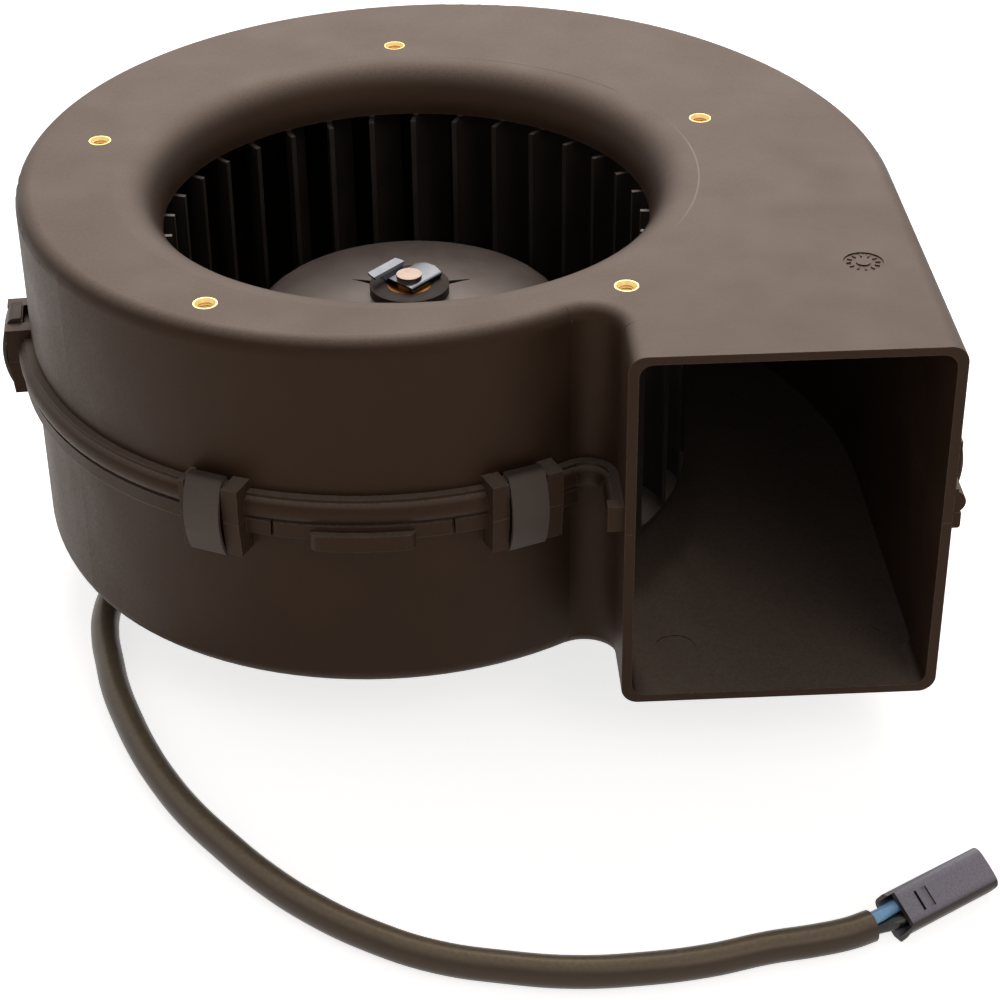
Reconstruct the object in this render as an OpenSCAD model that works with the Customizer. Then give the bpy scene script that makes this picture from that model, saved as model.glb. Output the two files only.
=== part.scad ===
// DC centrifugal blower: a single-inlet volute housing moulded in two halves and held together by
// sprung steel clips, with a bladed impeller carried on the shaft of a permanent-magnet motor.
// +Z runs up the impeller axis to the inlet, and the air leaves the outlet towards -Y.
// The origin is the centre of the motor's end face, on which the blower stands.

/* [Volute housing] */
// Radius of the volute's first arc, from the tongue round the front
volute_r1 = 105; // [103:0.5:110]
// How much larger the second arc, round the back, is than the first
volute_step_2 = 26; // [22:0.5:30]
// How much larger the third arc, down to the outlet, is than the second
volute_step_3 = 24; // [20:0.5:28]
// Angle at which the first arc meets the second
volute_a12 = 211; // [205:1:220]
// Angle at which the second arc meets the third
volute_a23 = 43; // [35:1:50]
// Distance of the first arc's centre to the left of the shaft
volute_dx = 11; // [9:0.5:13]
// Distance of the first arc's centre in front of the shaft
volute_dy = 3.5; // [2:0.5:6]
// Height of the closed housing
housing_h = 115; // [112:1:130]
// Height of the joint above the housing's underside
joint_h = 58.5; // [50:0.5:65]
// Thickness of the housing's side walls
wall_t = 3; // [2.4:0.1:4]
// Thickness of the top plate and the floor
plate_t = 2.5; // [2:0.1:4]
// Radius of the housing's rounded outer edges
edge_r = 5; // [3:0.5:6]

/* [Outlet] */
// Width of the outlet duct over its walls
duct_w = 92; // [86:1:96]
// Distance from the shaft to the outlet's front edge
duct_y = 121; // [117:1:140]
// Radius of the outlet's inner corners
duct_corner_r = 4; // [2:0.5:6]
// Diameter of the ejector pins' marks on the outlet's floor
ejector_d = 12; // [8:0.5:14]
// Radius of the hollow between the volute and the outlet
tongue_r = 9; // [7:0.5:11]

/* [Inlet] */
// Diameter of the inlet's throat
inlet_d = 150; // [146:1:154]
// Radius of the bell mouth's rounded lip
bell_r = 14.2; // [12:0.2:16]
// Diameter of the circle that the threaded inserts lie on
insert_pcd = 200; // [196:1:204]
// Number of threaded inserts
insert_n = 5; // [3:1:6]
// Angle of the first insert
insert_a = 91; // [85:1:97]
// Outside diameter of a threaded insert
insert_d = 7.2; // [6:0.1:9]
// Diameter of an insert's threaded hole
insert_bore_d = 4.2; // [3.3:0.1:5]
// Length of a threaded insert
insert_l = 9; // [6:0.5:12]
// Diameter of the moulded dial in the top plate
dial_d = 11.6; // [10:0.2:14]
// Number of tick marks on the moulded dial
dial_n = 12; // [8:1:12]

/* [Joint band] */
// How far the rounded bead stands out from the upper half
bead_out = 4.6; // [4:0.1:5.5]
// Height of the bead with the ledge on top of it
bead_h = 8; // [7:0.5:9]
// Thickness of the ledge on top of the bead
ledge_h = 0.8; // [0.5:0.1:1.2]
// How far the lip stands out from the lower half
lip_out = 3.6; // [2:0.1:4.5]
// Height of the lip
lip_h = 5; // [4:0.5:6]
// Width of the pry tab on the lower half
tab_w = 30; // [20:1:40]
// How far the pry tab stands out from the wall
tab_out = 6; // [4:0.2:7]
// Height of the pry tab
tab_h = 5; // [4:0.2:6]
// Distance between the two notches beside the pry tab
notch_pitch = 50; // [44:1:60]

/* [Clips] */
// Width of a clip's steel strap
strap_w = 11.2; // [9:0.2:14]
// Thickness of a clip's steel strap
strap_t = 1; // [0.6:0.1:1.4]
// Height of a clip's steel strap
strap_h = 25; // [22:0.5:28]
// How far the middle of a strap stands out from the wall
strap_out = 9.5; // [8:0.1:11]
// Radius of the strap's outward bow
bow_r = 25.5; // [20:0.5:40]
// Radius of the bends at the strap's two ends
bend_r = 2.5; // [2:0.1:3]
// Width of the open pocket between the wall and the hooks that hold a strap
pocket_w = 2.4; // [1.6:0.1:3]
// Width of the cheeks beside a clip
cheek_t = 5; // [3:0.5:6]
// How far the cheeks stand out from the wall
cheek_out = 7.5; // [6:0.1:8.5]
// Height of the cheeks above and below the joint
cheek_h = 11; // [9:0.5:13]

/* [Impeller] */
// Outside diameter of the blades
wheel_d = 176; // [170:1:180]
// Depth of a blade, from its inner edge to its tip
blade_depth = 15.5; // [13:0.5:17]
// Number of blades
blade_n = 33; // [24:1:36]
// Thickness of a blade
blade_t = 1.6; // [1:0.1:2]
// Height of the air gap under the wheel
wheel_gap = 12; // [10:0.5:15]
// Gap between the blades and the bell mouth
lip_gap = 1.8; // [1.2:0.1:3]
// Height that the blades' outer part rises behind the bell mouth
blade_rise = 5; // [3:0.5:7]
// Thickness of the wheel's back plate and dome
shell_t = 2.5; // [2:0.1:3]
// Thickness of the ring round the blade tips
rim_t = 1.5; // [1:0.1:2]
// Height of the ring round the blade tips
rim_h = 6; // [4:0.5:8]
// Depth of the dome's top below the inlet face
dome_depth = 47; // [44:0.5:52]
// Diameter of the dome at its shoulder
dome_d = 100; // [96:1:106]
// Radius of the dome's shoulder
dome_edge_r = 6; // [4:0.5:9]
// Slope of the dome's side, away from upright
dome_slope = 7; // [4:0.5:10]
// Diameter of the hub ring
hub_d = 25; // [22:0.5:30]
// Height of the hub ring above the dome's top
hub_rise = 8; // [5:0.5:10]
// Diameter of the sleeve pressed into the hub
hub_bush_d = 14; // [12:0.5:15]
// Width of the groove in the hub ring's top
hub_groove_w = 2.6; // [1.5:0.1:3.5]
// Length of the pointed slits beside the hub ring
hub_slit_l = 5; // [3:0.5:7]
// Length of the retaining clip on the hub
hub_clip_l = 22; // [18:0.5:26]
// Width of the retaining clip on the hub
hub_clip_w = 16; // [13:0.5:19]
// Angle of the retaining clip on the hub
hub_clip_a = 30; // [0:1:90]

/* [Motor] */
// Diameter of the motor shaft
shaft_d = 8; // [6:0.5:9]
// Height of the shaft's end above the hub ring
shaft_rise = 3.5; // [3:0.1:6]
// Outside diameter of the motor
motor_d = 76; // [70:1:80]
// Thickness of the motor's steel can
can_t = 1.6; // [1:0.1:2.5]
// How far the motor hangs below the housing
motor_drop = 25; // [24:0.5:35]
// Height of the motor's rear cap
rear_cap_h = 20; // [19:0.5:22]
// Thickness of the magnets
magnet_t = 4; // [3:0.1:6]
// Angle that one magnet covers
magnet_span = 130; // [100:1:150]
// Air gap between the armature and the magnets
air_gap = 0.8; // [0.5:0.1:1.5]
// Number of armature slots and commutator bars
slot_n = 12; // [8:1:16]
// Diameter of the commutator
commutator_d = 20; // [16:0.5:22]
// Width of a brush
brush_w = 6; // [4:0.5:7]
// Height of a brush
brush_h = 5; // [4:0.5:6]
// Length of a brush
brush_l = 9; // [7:0.5:10]
// Diameter of the motor's mounting flange
flange_d = 108; // [100:1:112]
// Thickness of the motor's mounting flange
flange_t = 2.5; // [2:0.1:4]
// Diameter of the circle that the flange screws lie on
screw_pcd = 95; // [92:1:98]
// Number of flange screws
screw_n = 4; // [3:1:6]
// Diameter of a flange screw
screw_d = 4; // [3:0.5:5]

/* [Lead] */
// Diameter of the cable's sleeve
cord_d = 9; // [8:0.1:10]
// Diameter of each insulated wire
wire_d = 3.8; // [3:0.1:4]
// Length of the cable gland
gland_l = 12; // [8:0.5:16]
// Length of the connector
plug_l = 32; // [28:0.5:36]
// Width of the connector
plug_w = 12.5; // [12:0.5:16]
// Thickness of the connector
plug_h = 7.6; // [7:0.1:9]
// Angle of the connector, measured from +X
plug_a = 31.3; // [25:0.1:38]
// How far the connector has rolled over on its long axis
plug_roll = 32; // [20:1:40]

/* [Hidden] */
$fn = 96;
// radial clearance of a running or pressed round seat, and gap between loose neighbours
slip = 0.05;
seat = 0.3;
// how far a cutting shape runs past the face that it cuts
over = 1;
// how far the inner pieces of the motor stay clear of one another
room = 2;

// heights
floor_z = motor_drop;
joint_z = floor_z + joint_h;
top_z = floor_z + housing_h;
lip_z = top_z - bell_r;
wheel_z = floor_z + plate_t + wheel_gap;
blade_z = wheel_z + shell_t;
blade_top = lip_z - lip_gap;
rim_top = blade_top + blade_rise;
dome_z = top_z - dome_depth;
hub_z = dome_z + hub_rise;
shaft_z = hub_z + shaft_rise;
hub_foot = dome_z - 2.6 * shell_t;
front_boss_z = hub_foot - room;
front_cap_z = front_boss_z - 2.8 * shell_t;
cap_t = 3;
shaft_foot = cap_t + slip;
bush_h = 0.9 * shaft_d;
bush_r = 0.9 * shaft_d;
boss_r = 1.3 * shaft_d;

// the volute's three arcs: each one's centre lies on the line to the point where it meets the next
function dir(a) = [cos(a), sin(a)];
volute_r2 = volute_r1 + volute_step_2;
volute_r3 = volute_r2 + volute_step_3;
C1 = [-volute_dx, -volute_dy];
C2 = C1 + (volute_r1 - volute_r2) * dir(volute_a12);
C3 = C2 + (volute_r2 - volute_r3) * dir(volute_a23);
right_x = C3.x + volute_r3;
left_x = right_x - duct_w;
tongue_x = left_x - tongue_r;
tongue_y = C1.y - sqrt(pow(volute_r1 + tongue_r, 2) - pow(tongue_x - C1.x, 2));
tongue_c = [tongue_x, tongue_y];
tongue_a = 360 + atan2(tongue_y - C1.y, tongue_x - C1.x);
CENTRE = [C1, C2, C3];
RADIUS = [volute_r1, volute_r2, volute_r3];
START = [volute_a12, volute_a23, 0];
END = [360, volute_a12, volute_a23];
// the hollow at the tongue runs this far into its neighbours, so that they join as one solid
lap = 0.1;
lap_a = 3;

// the clips: arc, angle on it, and width of the first cheek as a share of the other; arc 3 is the
// straight wall on the right, with the distance from the shaft in place of the angle
CLIPS = [
    [0, tongue_a - 9.2, 1], [0, tongue_a - 57.2, 0.36], [1, 184, 1], [1, 130, 1], [1, 80, 1], [2, 22, 1],
    [3, 85, 1]
];
clip_n = len(CLIPS);
channel_w = strap_w + 2 * seat;
bow_c = strap_out - bow_r;
bow_a = asin((strap_h / 2 - bend_r) / (bow_r - bend_r));
bend_c = [bow_c + (bow_r - bend_r) * cos(bow_a), strap_h / 2 - bend_r];
strap_end = pocket_w + seat;
hook_h = strap_h / 2 - strap_t - seat;
hook_out = bend_c.x + bend_r - strap_t - 2 * seat;
tab_a = tongue_a - 33.75;

// the impeller
wheel_r = wheel_d / 2;
blade_in_r = wheel_r - blade_depth;
blade_curve_r = blade_depth + 0.3 * blade_t;
hub_bush_r = hub_bush_d / 2;
clip_t = 0.8;
dome_c = [dome_d / 2 - dome_edge_r, dome_z - dome_edge_r];

// the motor
motor_r = motor_d / 2;
can_in_r = motor_r - can_t;
magnet_in_r = can_in_r - seat - magnet_t;
core_r = magnet_in_r - air_gap;
bundle_h = 0.18 * motor_r;
core_z0 = rear_cap_h + 2 * bundle_h;
core_z1 = front_cap_z - 1.7 * bundle_h;
magnet_over = 0.4 * bundle_h;
slot_r = 0.13 * core_r;
slot_c = core_r - slot_r - room;
slot_mouth = 0.6 * slot_r;
brush_z = rear_cap_h - cap_t;
holder_z = brush_z - 1.4 * brush_h;
holder_t = 2;
guide_wall = 1.6;
spring_l = 0.9 * brush_l;
spring_r = 0.32 * brush_w;
spring_wire_r = 0.3;
guide_end = commutator_d / 2 + seat + brush_l + spring_l;
gland_boss_d = cord_d + 6;
gland_z = gland_boss_d / 2 + 3.5;
gland_x = motor_r + 2 * cap_t;
groove = 0.6;
gasket_t = 1;
flange_z = floor_z - gasket_t;
screw_foot = flange_z - flange_t;
boss_top = wheel_z - cap_t;

// the cable's centre line, from the gland to the end of its sleeve
CORD = [
    [-gland_x - gland_l, 0, gland_z], [-66, 0, 11], [-76, -2, 10], [-86, -7, 8.6], [-94, -15, 7],
    [-99, -25, 5.6], [-101, -36, 4.7], [-100.5, -49, 4.5], [-98, -63, 4.5], [-95, -77, 4.5],
    [-90, -93, 4.5], [-84, -109, 4.5], [-77, -124, 4.5], [-69, -138, 4.5], [-59, -152, 4.5],
    [-47, -167, 4.5], [-33, -181, 4.5], [-17, -193, 4.5], [0, -202, 4.5], [18, -207, 4.5],
    [36, -210, 4.5], [54, -210, 4.5], [72, -208, 4.5], [89, -204, 4.5], [102, -202, 4.5],
    [114, -199, 4.5], [122, -195.3, 4.5]
];
cord_end = CORD[len(CORD) - 1];
wire_gap = 3.1;
wire_pitch = 2.2;
plug_edge_r = 2.2;
// height at which the rolled connector's edge just meets the ground
plug_half = [plug_w / 2 - plug_edge_r, plug_h / 2 - plug_edge_r];
plug_z = plug_half.x * sin(plug_roll) + plug_half.y * cos(plug_roll) + plug_edge_r;
plug_base = [cord_end.x, cord_end.y, 0] + [wire_gap * cos(14), wire_gap * sin(14), plug_z];
pin_pitch = 3;
pin_bore = 3.4;
pin_l = 0.45 * plug_l;
plug_wall = 1.2;
plug_mouth = 4;

// ---- shared shapes ----

// a rectangle with round corners, centred
module round_rect(w, h, r) {
    square([w - 2 * r, h], center = true);
    square([w, h - 2 * r], center = true);
    for (x = [-1, 1], y = [-1, 1])
        translate([x * (w / 2 - r), y * (h / 2 - r)]) circle(r);
}

// a ring with its foot at z0
module ring(r_out, r_in, z0, z1) {
    translate([0, 0, z0]) difference() {
        cylinder(r = r_out, h = z1 - z0);
        translate([0, 0, -over]) cylinder(r = r_in, h = z1 - z0 + 2 * over);
    }
}

// copies on a circle round the shaft
module on_circle(n, d, a0 = 0) {
    for (i = [0:n - 1])
        rotate(a0 + i * 360 / n) translate([d / 2, 0, 0]) children();
}

// the unit direction of the route at point i
function unit(v) = v / norm(v);
function heading(p, i) = unit(p[min(i + 1, len(p) - 1)] - p[max(i - 1, 0)]);

// a round tube swept along the points p, with n sides
module tube(p, r, n) {
    rings = [for (i = [0:len(p) - 1])
        let (t = heading(p, i), side = unit(cross(t, [0, 0, 1])), up = cross(side, t))
        for (k = [0:n - 1]) p[i] + r * (cos(k * 360 / n) * side + sin(k * 360 / n) * up)];
    last = (len(p) - 1) * n;
    sides = [for (i = [0:len(p) - 2], k = [0:n - 1])
        [i * n + k, i * n + (k + 1) % n, (i + 1) * n + (k + 1) % n, (i + 1) * n + k]];
    caps = [[for (k = [n - 1:-1:0]) k], [for (k = [0:n - 1]) last + k]];
    polyhedron(rings, concat(sides, caps));
}

// ---- housing ----

// moves to a point of the plan in two steps, so that the place keeps its full precision
module place(v) {
    coarse = [for (c = v) round(c * 1000) / 1000];
    translate(coarse) translate(v - coarse) children();
}

// the volute and its duct as a solid of height h, t inside the outer face, run past the front by past
module volute(h, t = 0, past = 0) {
    for (i = [0:2])
        place(CENTRE[i]) rotate_extrude(start = START[i], angle = END[i] - START[i], $fn = 192)
            square([RADIUS[i] - t, h]);
    duct_x = volute_r3 - duct_w;
    place(C3) linear_extrude(h) difference() {
        polygon([
            C1 - C3, [-volute_r1 / 2, 0], [0, volute_r2 / 2], [volute_r3 * 2 / 3, volute_r3 / 4],
            [volute_r3 - t, 0], [volute_r3 - t, -duct_y - past - C3.y],
            [duct_x + t, -duct_y - past - C3.y], [duct_x + t, tongue_y - C3.y], tongue_c - C3
        ]);
        translate(tongue_c - C3) circle(tongue_r + t + lap / 5);
    }
}

// sweeps a profile along the outside of the wall: its x points out of the wall and its y points up;
// on the outlet's left it stops at the hollow, or goes on round it
module along_wall(front_gap = 0, round_hollow = true) {
    for (i = [0:2])
        place(CENTRE[i])
            rotate_extrude(
                start = START[i], angle = (i == 0 ? tongue_a + lap_a / 6 : END[i]) - START[i], $fn = 192
            ) translate([RADIUS[i], 0]) children();
    if (round_hollow) {
        translate(tongue_c) rotate_extrude(start = -lap_a, angle = tongue_a - 180 + 2 * lap_a)
            translate([tongue_r - lap, 0]) mirror([1, 0]) children();
        translate([left_x, tongue_y + 5 * lap, 0]) rotate([90, 0, 0])
            linear_extrude(tongue_y + 5 * lap + duct_y - front_gap) mirror([1, 0]) children();
    }
    place(C3) translate([volute_r3, 0, 0]) rotate([90, 0, 0])
        linear_extrude(C3.y + duct_y - front_gap) children();
}

// the corner that rounding an outer edge takes away, for an edge at the profile's origin
module edge_cut() {
    translate([-edge_r, -edge_r]) difference() {
        square(edge_r + over);
        circle(edge_r);
    }
}

// quarter-round strips in the duct's two corners at the height z, turned up or down by side
module duct_corners(z, side) {
    for (s = [-1, 1])
        translate([s < 0 ? left_x + wall_t : right_x - wall_t, -duct_y, z])
            mirror([s < 0 ? 0 : 1, 0, 0]) mirror([0, 0, side < 0 ? 0 : 1])
                rotate([90, 0, 0]) mirror([0, 0, 1])
                    linear_extrude(duct_y + tongue_y) difference() {
                        translate([-over, -over]) square(duct_corner_r + over);
                        translate([duct_corner_r, duct_corner_r]) circle(duct_corner_r);
                    }
}

// the upper half's bead: half round, tucked in at the joint, with a thin ledge on top
module bead_profile() {
    r = (bead_h - ledge_h) / 2;
    translate([-over, 0]) square([bead_out / 2 + over, bead_h]);
    translate([bead_out - r, r]) circle(r, $fn = 48);
}

// the lower half's lip, measured down from the joint, with a small round on its outer corner
module lip_profile(out, h, r = 0.8) {
    translate([-over, 0]) square([out + over - r, h]);
    translate([-over, 0]) square([out + over, h - r]);
    translate([out - r, h - r]) circle(r, $fn = 48);
}

// turns to an angle on the volute's first arc, with x pointing out of the wall
module on_first_arc(a) {
    translate([C1.x, C1.y, 0]) rotate(a) translate([volute_r1, 0, 0]) children();
}

// a tab on the lip to pry the halves apart, measured down from the joint, with round ends
module pry_tab(z0) {
    end_r = tab_out / 2;
    half = (tab_w / 2 - end_r) / (volute_r1 + end_r) * 180 / PI;
    translate([0, 0, z0]) {
        translate([C1.x, C1.y, 0]) rotate_extrude(start = tab_a - half, angle = 2 * half, $fn = 192)
            translate([volute_r1 - over, 0]) square([tab_out + over, tab_h]);
        for (s = [-1, 1])
            on_first_arc(tab_a + s * half) translate([end_r, 0, 0])
                rotate(s * 90) cylinder(r = end_r - slip, h = tab_h);
    }
}

// places a piece at clip k: x points out of the wall and z = 0 is the joint
module at_clip(k) {
    arc = CLIPS[k][0];
    if (arc < 3)
        translate([CENTRE[arc].x, CENTRE[arc].y, joint_z]) rotate(CLIPS[k][1])
            translate([RADIUS[arc], 0, 0]) children();
    else
        translate([right_x, -CLIPS[k][1], joint_z]) children();
}

// half of the seat under a clip, above the joint: a hook that the strap snaps over, and two cheeks
module clip_lug(k, slope) {
    translate([-over, -channel_w / 2, 0]) cube([hook_out + over, channel_w, hook_h / 3]);
    translate([pocket_w, -channel_w / 2, 0]) cube([hook_out - pocket_w, channel_w, hook_h]);
    for (s = [-1, 1]) {
        w = s < 0 ? cheek_t * CLIPS[k][2] : cheek_t;
        translate([0, s * (channel_w + w) / 2 + w / 2, 0]) rotate([90, 0, 0]) linear_extrude(w)
            polygon([[-over, 0], [cheek_out, 0], [cheek_out - slope, cheek_h], [-over, cheek_h]]);
    }
}

// the path of a strap's section, t inside its outer face, from its lower end to its upper end
function strap_path(t, n = 6) = concat(
    [[strap_end, t - strap_h / 2]],
    [for (i = [0:n]) [bend_c.x, -bend_c.y] + (bend_r - t) * dir(-90 + i / n * (90 - bow_a))],
    [for (i = [1:2 * n - 1]) [bow_c, 0] + (bow_r - t) * dir((i / n - 1) * bow_a)],
    [for (i = [0:n]) bend_c + (bend_r - t) * dir(bow_a + i / n * (90 - bow_a))],
    [[strap_end, strap_h / 2 - t]]
);
function reversed(p) = [for (i = [len(p) - 1:-1:0]) p[i]];

module upper_housing() color("dimgray") difference() {
    union() {
        difference() {
            union() {
                difference() {
                    translate([0, 0, joint_z]) volute(top_z - joint_z);
                    translate([0, 0, joint_z - over])
                        volute(top_z - plate_t - joint_z + over, wall_t, over);
                    translate([0, 0, top_z]) along_wall(-over) edge_cut();
                }
                duct_corners(top_z - plate_t, 1);
            }
            cylinder(r = inlet_d / 2 + bell_r, h = top_z + over);
        }
        // bell mouth
        translate([0, 0, lip_z]) rotate_extrude() translate([inlet_d / 2 + bell_r, 0]) intersection() {
            difference() {
                circle(bell_r);
                circle(bell_r - plate_t);
            }
            translate([-bell_r, 0]) square(bell_r);
        }
        // bosses round the threaded inserts
        on_circle(insert_n, insert_pcd, insert_a) translate([0, 0, top_z - plate_t - insert_l])
            cylinder(d = insert_d + 2 * plate_t, h = insert_l + over);
        translate([0, 0, joint_z]) {
            along_wall(edge_r) bead_profile();
            // block that ends the bead on the outlet's left wall
            translate([left_x - bead_out, edge_r - wall_t - duct_y, 0])
                cube([bead_out + over, wall_t + over, bead_h]);
        }
        for (k = [0:clip_n - 1]) at_clip(k) clip_lug(k, 0);
    }
    on_circle(insert_n, insert_pcd, insert_a)
        translate([0, 0, top_z - insert_l]) cylinder(d = insert_d + 2 * slip, h = insert_l + over);
    date_dial();
}

// a plain moulded dial: a shallow round recess with a raised centre and a ring of tick marks
module date_dial() {
    deep = 0.4;
    translate([right_x - 4 * edge_r, -volute_r1 * 2 / 3, top_z - deep]) difference() {
        cylinder(d = dial_d, h = deep + over);
        translate([0, 0, -over]) cylinder(d = dial_d * 0.36, h = deep + over);
        for (i = [0:dial_n - 1])
            rotate(i * 360 / dial_n) translate([dial_d * 0.3, -deep / 2, -over])
                cube([dial_d * 0.12, deep, deep + over]);
    }
}

module lower_housing() color("#4a4038") difference() {
    union() {
        difference() {
            translate([0, 0, floor_z]) volute(joint_h);
            translate([0, 0, floor_z + plate_t]) volute(joint_h, wall_t, over);
            translate([0, 0, floor_z]) mirror([0, 0, 1]) along_wall(-over) edge_cut();
        }
        duct_corners(floor_z + plate_t, -1);
        // collar round the motor, and bosses for the flange screws
        ring(motor_r + room + wall_t, motor_r + room, floor_z + plate_t - over, boss_top);
        on_circle(screw_n, screw_pcd, 45)
            translate([0, 0, floor_z]) cylinder(d = screw_d + 2 * plate_t, h = boss_top - floor_z);
        translate([0, 0, joint_z]) mirror([0, 0, 1]) {
            along_wall(edge_r, false) lip_profile(lip_out, lip_h);
            pry_tab(bead_h / 4);
            for (k = [0:clip_n - 1]) at_clip_low(k) clip_lug(k, strap_t);
        }
    }
    translate([0, 0, floor_z - over]) cylinder(r = motor_r + room, h = plate_t + 2 * over);
    on_circle(screw_n, screw_pcd, 45)
        translate([0, 0, floor_z - over]) cylinder(d = screw_d + 2 * slip, h = boss_top - floor_z);
    // notches in the lip beside the tab
    for (s = [-1, 1])
        on_first_arc(tab_a + s * notch_pitch / volute_r1 * 90 / PI)
            translate([lip_out / 2, -over / 2, joint_z - lip_h - over]) cube([lip_out, over, lip_h + 2 * over]);
    // round marks of the ejector pins on the outlet's floor
    for (x = [left_x + duct_w / 5, right_x - duct_w / 6])
        translate([x, edge_r * 4.6 - duct_y, floor_z + plate_t - seat])
            cylinder(d = ejector_d, h = over);
}

// the same place as at_clip, for shapes that are mirrored about the joint and lifted to it
module at_clip_low(k) {
    translate([0, 0, -joint_z]) at_clip(k) children();
}

module inlet_inserts() color("gold") on_circle(insert_n, insert_pcd, insert_a)
    translate([0, 0, top_z - insert_l]) difference() {
        cylinder(d = insert_d, h = insert_l);
        translate([0, 0, -over]) cylinder(d = insert_bore_d, h = insert_l + 2 * over);
    }

// a sprung strap, bowed outwards and bent over the two hooks, open towards the wall
module clip(k) color("#55483c") at_clip(k) rotate([90, 0, 0])
    linear_extrude(strap_w, center = true) polygon(concat(strap_path(0), reversed(strap_path(strap_t))));

// ---- impeller ----

// half the section of the dome's solid, t inside its outer face
module dome_half(t) {
    r = dome_edge_r - t;
    tip = dome_c + r * dir(dome_slope);
    base_x = tip.x + (tip.y - wheel_z + over) * tan(dome_slope);
    polygon([[0, wheel_z - over], [base_x, wheel_z - over], tip, dome_c + [0, r], [0, dome_c.y + r]]);
    translate(dome_c) circle(r);
}

module impeller_hub() color("#3a3430") difference() {
    hub_body();
    // pointed slits in the dome, beside the ring
    for (s = [0, 180]) rotate(s) translate([hub_d / 2 - seat, 0, dome_z - shell_t - over])
        linear_extrude(shell_t + over + seat)
            polygon([[0, -hub_slit_l / 6], [hub_slit_l + seat, 0], [0, hub_slit_l / 6]]);
}

// the dome, the back plate and the hub ring as one turned shape
module hub_body() rotate_extrude() difference() {
    union() {
        intersection() {
            difference() {
                dome_half(0);
                dome_half(shell_t);
            }
            translate([0, wheel_z]) square([wheel_r, dome_depth * 2]);
        }
        difference() {
            translate([0, wheel_z]) square([wheel_r, shell_t]);
            dome_half(shell_t);
        }
        translate([0, hub_foot]) square([hub_d / 2, hub_z - hub_foot]);
    }
    translate([-over, hub_foot - over]) square([hub_bush_r + slip + over, hub_z - hub_foot + 2 * over]);
    // groove in the ring's top
    translate([hub_bush_r + shell_t / 2, hub_z - hub_rise / 2]) square([hub_groove_w, hub_rise]);
}

// one blade's plan: a forward-curved arc between the inner and the outer diameter
module blade_plan() {
    translate([blade_in_r, -blade_curve_r]) intersection() {
        difference() {
            circle(blade_curve_r + blade_t / 2, $fn = 48);
            circle(blade_curve_r - blade_t / 2, $fn = 48);
        }
        translate([-over, blade_curve_r / 4]) square(2 * blade_curve_r);
    }
}

module impeller_blades() color("#2c2826") intersection() {
    translate([0, 0, blade_z]) linear_extrude(rim_top - blade_z)
        for (i = [0:blade_n - 1]) rotate(i * 360 / blade_n) blade_plan();
    rotate_extrude() polygon([
        [blade_in_r, blade_z - over], [wheel_r, blade_z - over], [wheel_r, rim_top + over],
        [inlet_d / 2 + 5, rim_top + over], [inlet_d / 2 + 3, blade_top], [blade_in_r, blade_top]
    ]);
}

module impeller_rim() color("#3a3430") ring(wheel_r + rim_t, wheel_r, rim_top - rim_h, rim_top);

module hub_bush() color("peru") ring(hub_bush_r, shaft_d / 2 + slip, hub_foot, hub_z);

// a spring plate over the shaft: one long edge is rolled, and the other stands up as a tab
module hub_clip() color("lightsteelblue") translate([0, 0, hub_z + slip]) rotate(hub_clip_a) difference() {
    union() {
        linear_extrude(clip_t) round_rect(hub_clip_l, hub_clip_w - 2 * clip_t, 2 * clip_t);
        rotate([90, 0, 90]) linear_extrude(hub_clip_l - 4 * clip_t, center = true) {
            translate([2 * clip_t - hub_clip_w / 2, 2 * clip_t]) difference() {
                circle(2 * clip_t, $fn = 32);
                circle(clip_t, $fn = 32);
            }
            polygon([
                [hub_clip_w / 2 - 4 * clip_t, 0], [hub_clip_w / 2 - clip_t, 0], [hub_clip_w / 2, 4 * clip_t],
                [hub_clip_w / 2 - clip_t, 4 * clip_t], [hub_clip_w / 2 - 2 * clip_t, clip_t]
            ]);
        }
    }
    translate([0, 0, -over]) cylinder(d = shaft_d + 2 * slip, h = hub_rise);
}

// ---- motor ----

module motor_shaft() color("silver") translate([0, 0, shaft_foot])
    cylinder(d = shaft_d, h = shaft_z - shaft_foot);

module motor_can() color("darkgray") ring(motor_r, can_in_r, rear_cap_h, front_cap_z);

module motor_front_cap() color("gray") difference() {
    union() {
        translate([0, 0, front_cap_z]) cylinder(r = motor_r, h = cap_t);
        translate([0, 0, front_cap_z - cap_t]) cylinder(r = boss_r, h = front_boss_z - front_cap_z + cap_t);
    }
    translate([0, 0, front_cap_z - cap_t - over])
        cylinder(r = bush_r + slip, h = front_boss_z - front_cap_z + cap_t + 2 * over);
}

module front_bush() color("peru") ring(bush_r, shaft_d / 2 + slip, front_cap_z - cap_t, front_boss_z);

module motor_rear_cap() color("dimgray") difference() {
    union() {
        cylinder(r = motor_r, h = rear_cap_h);
        translate([-gland_x, 0, gland_z]) rotate([0, 90, 0])
            cylinder(d = gland_boss_d, h = gland_x - motor_r + cap_t);
    }
    difference() {
        translate([0, 0, cap_t]) cylinder(r = motor_r - room, h = rear_cap_h);
        cylinder(r = boss_r, h = cap_t + bush_h);
    }
    translate([0, 0, cap_t]) cylinder(r = bush_r + slip, h = rear_cap_h);
}

module rear_bush() color("peru") ring(bush_r, shaft_d / 2 + slip, cap_t, cap_t + bush_h);

module magnet(k) color("#404048") rotate(k * 180 - magnet_span / 2)
    rotate_extrude(angle = magnet_span) translate([magnet_in_r, core_z0 - magnet_over])
        square([magnet_t, core_z1 - core_z0 + 2 * magnet_over]);

module armature_core() color("slategray") difference() {
    ring(core_r, shaft_d / 2 + slip, core_z0, core_z1);
    on_circle(slot_n, 2 * slot_c) translate([0, 0, core_z0 - over]) {
        cylinder(r = slot_r, h = core_z1 - core_z0 + 2 * over, $fn = 32);
        translate([0, -slot_mouth / 2, 0])
            cube([slot_r + 2 * room, slot_mouth, core_z1 - core_z0 + 2 * over]);
    }
}

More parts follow.
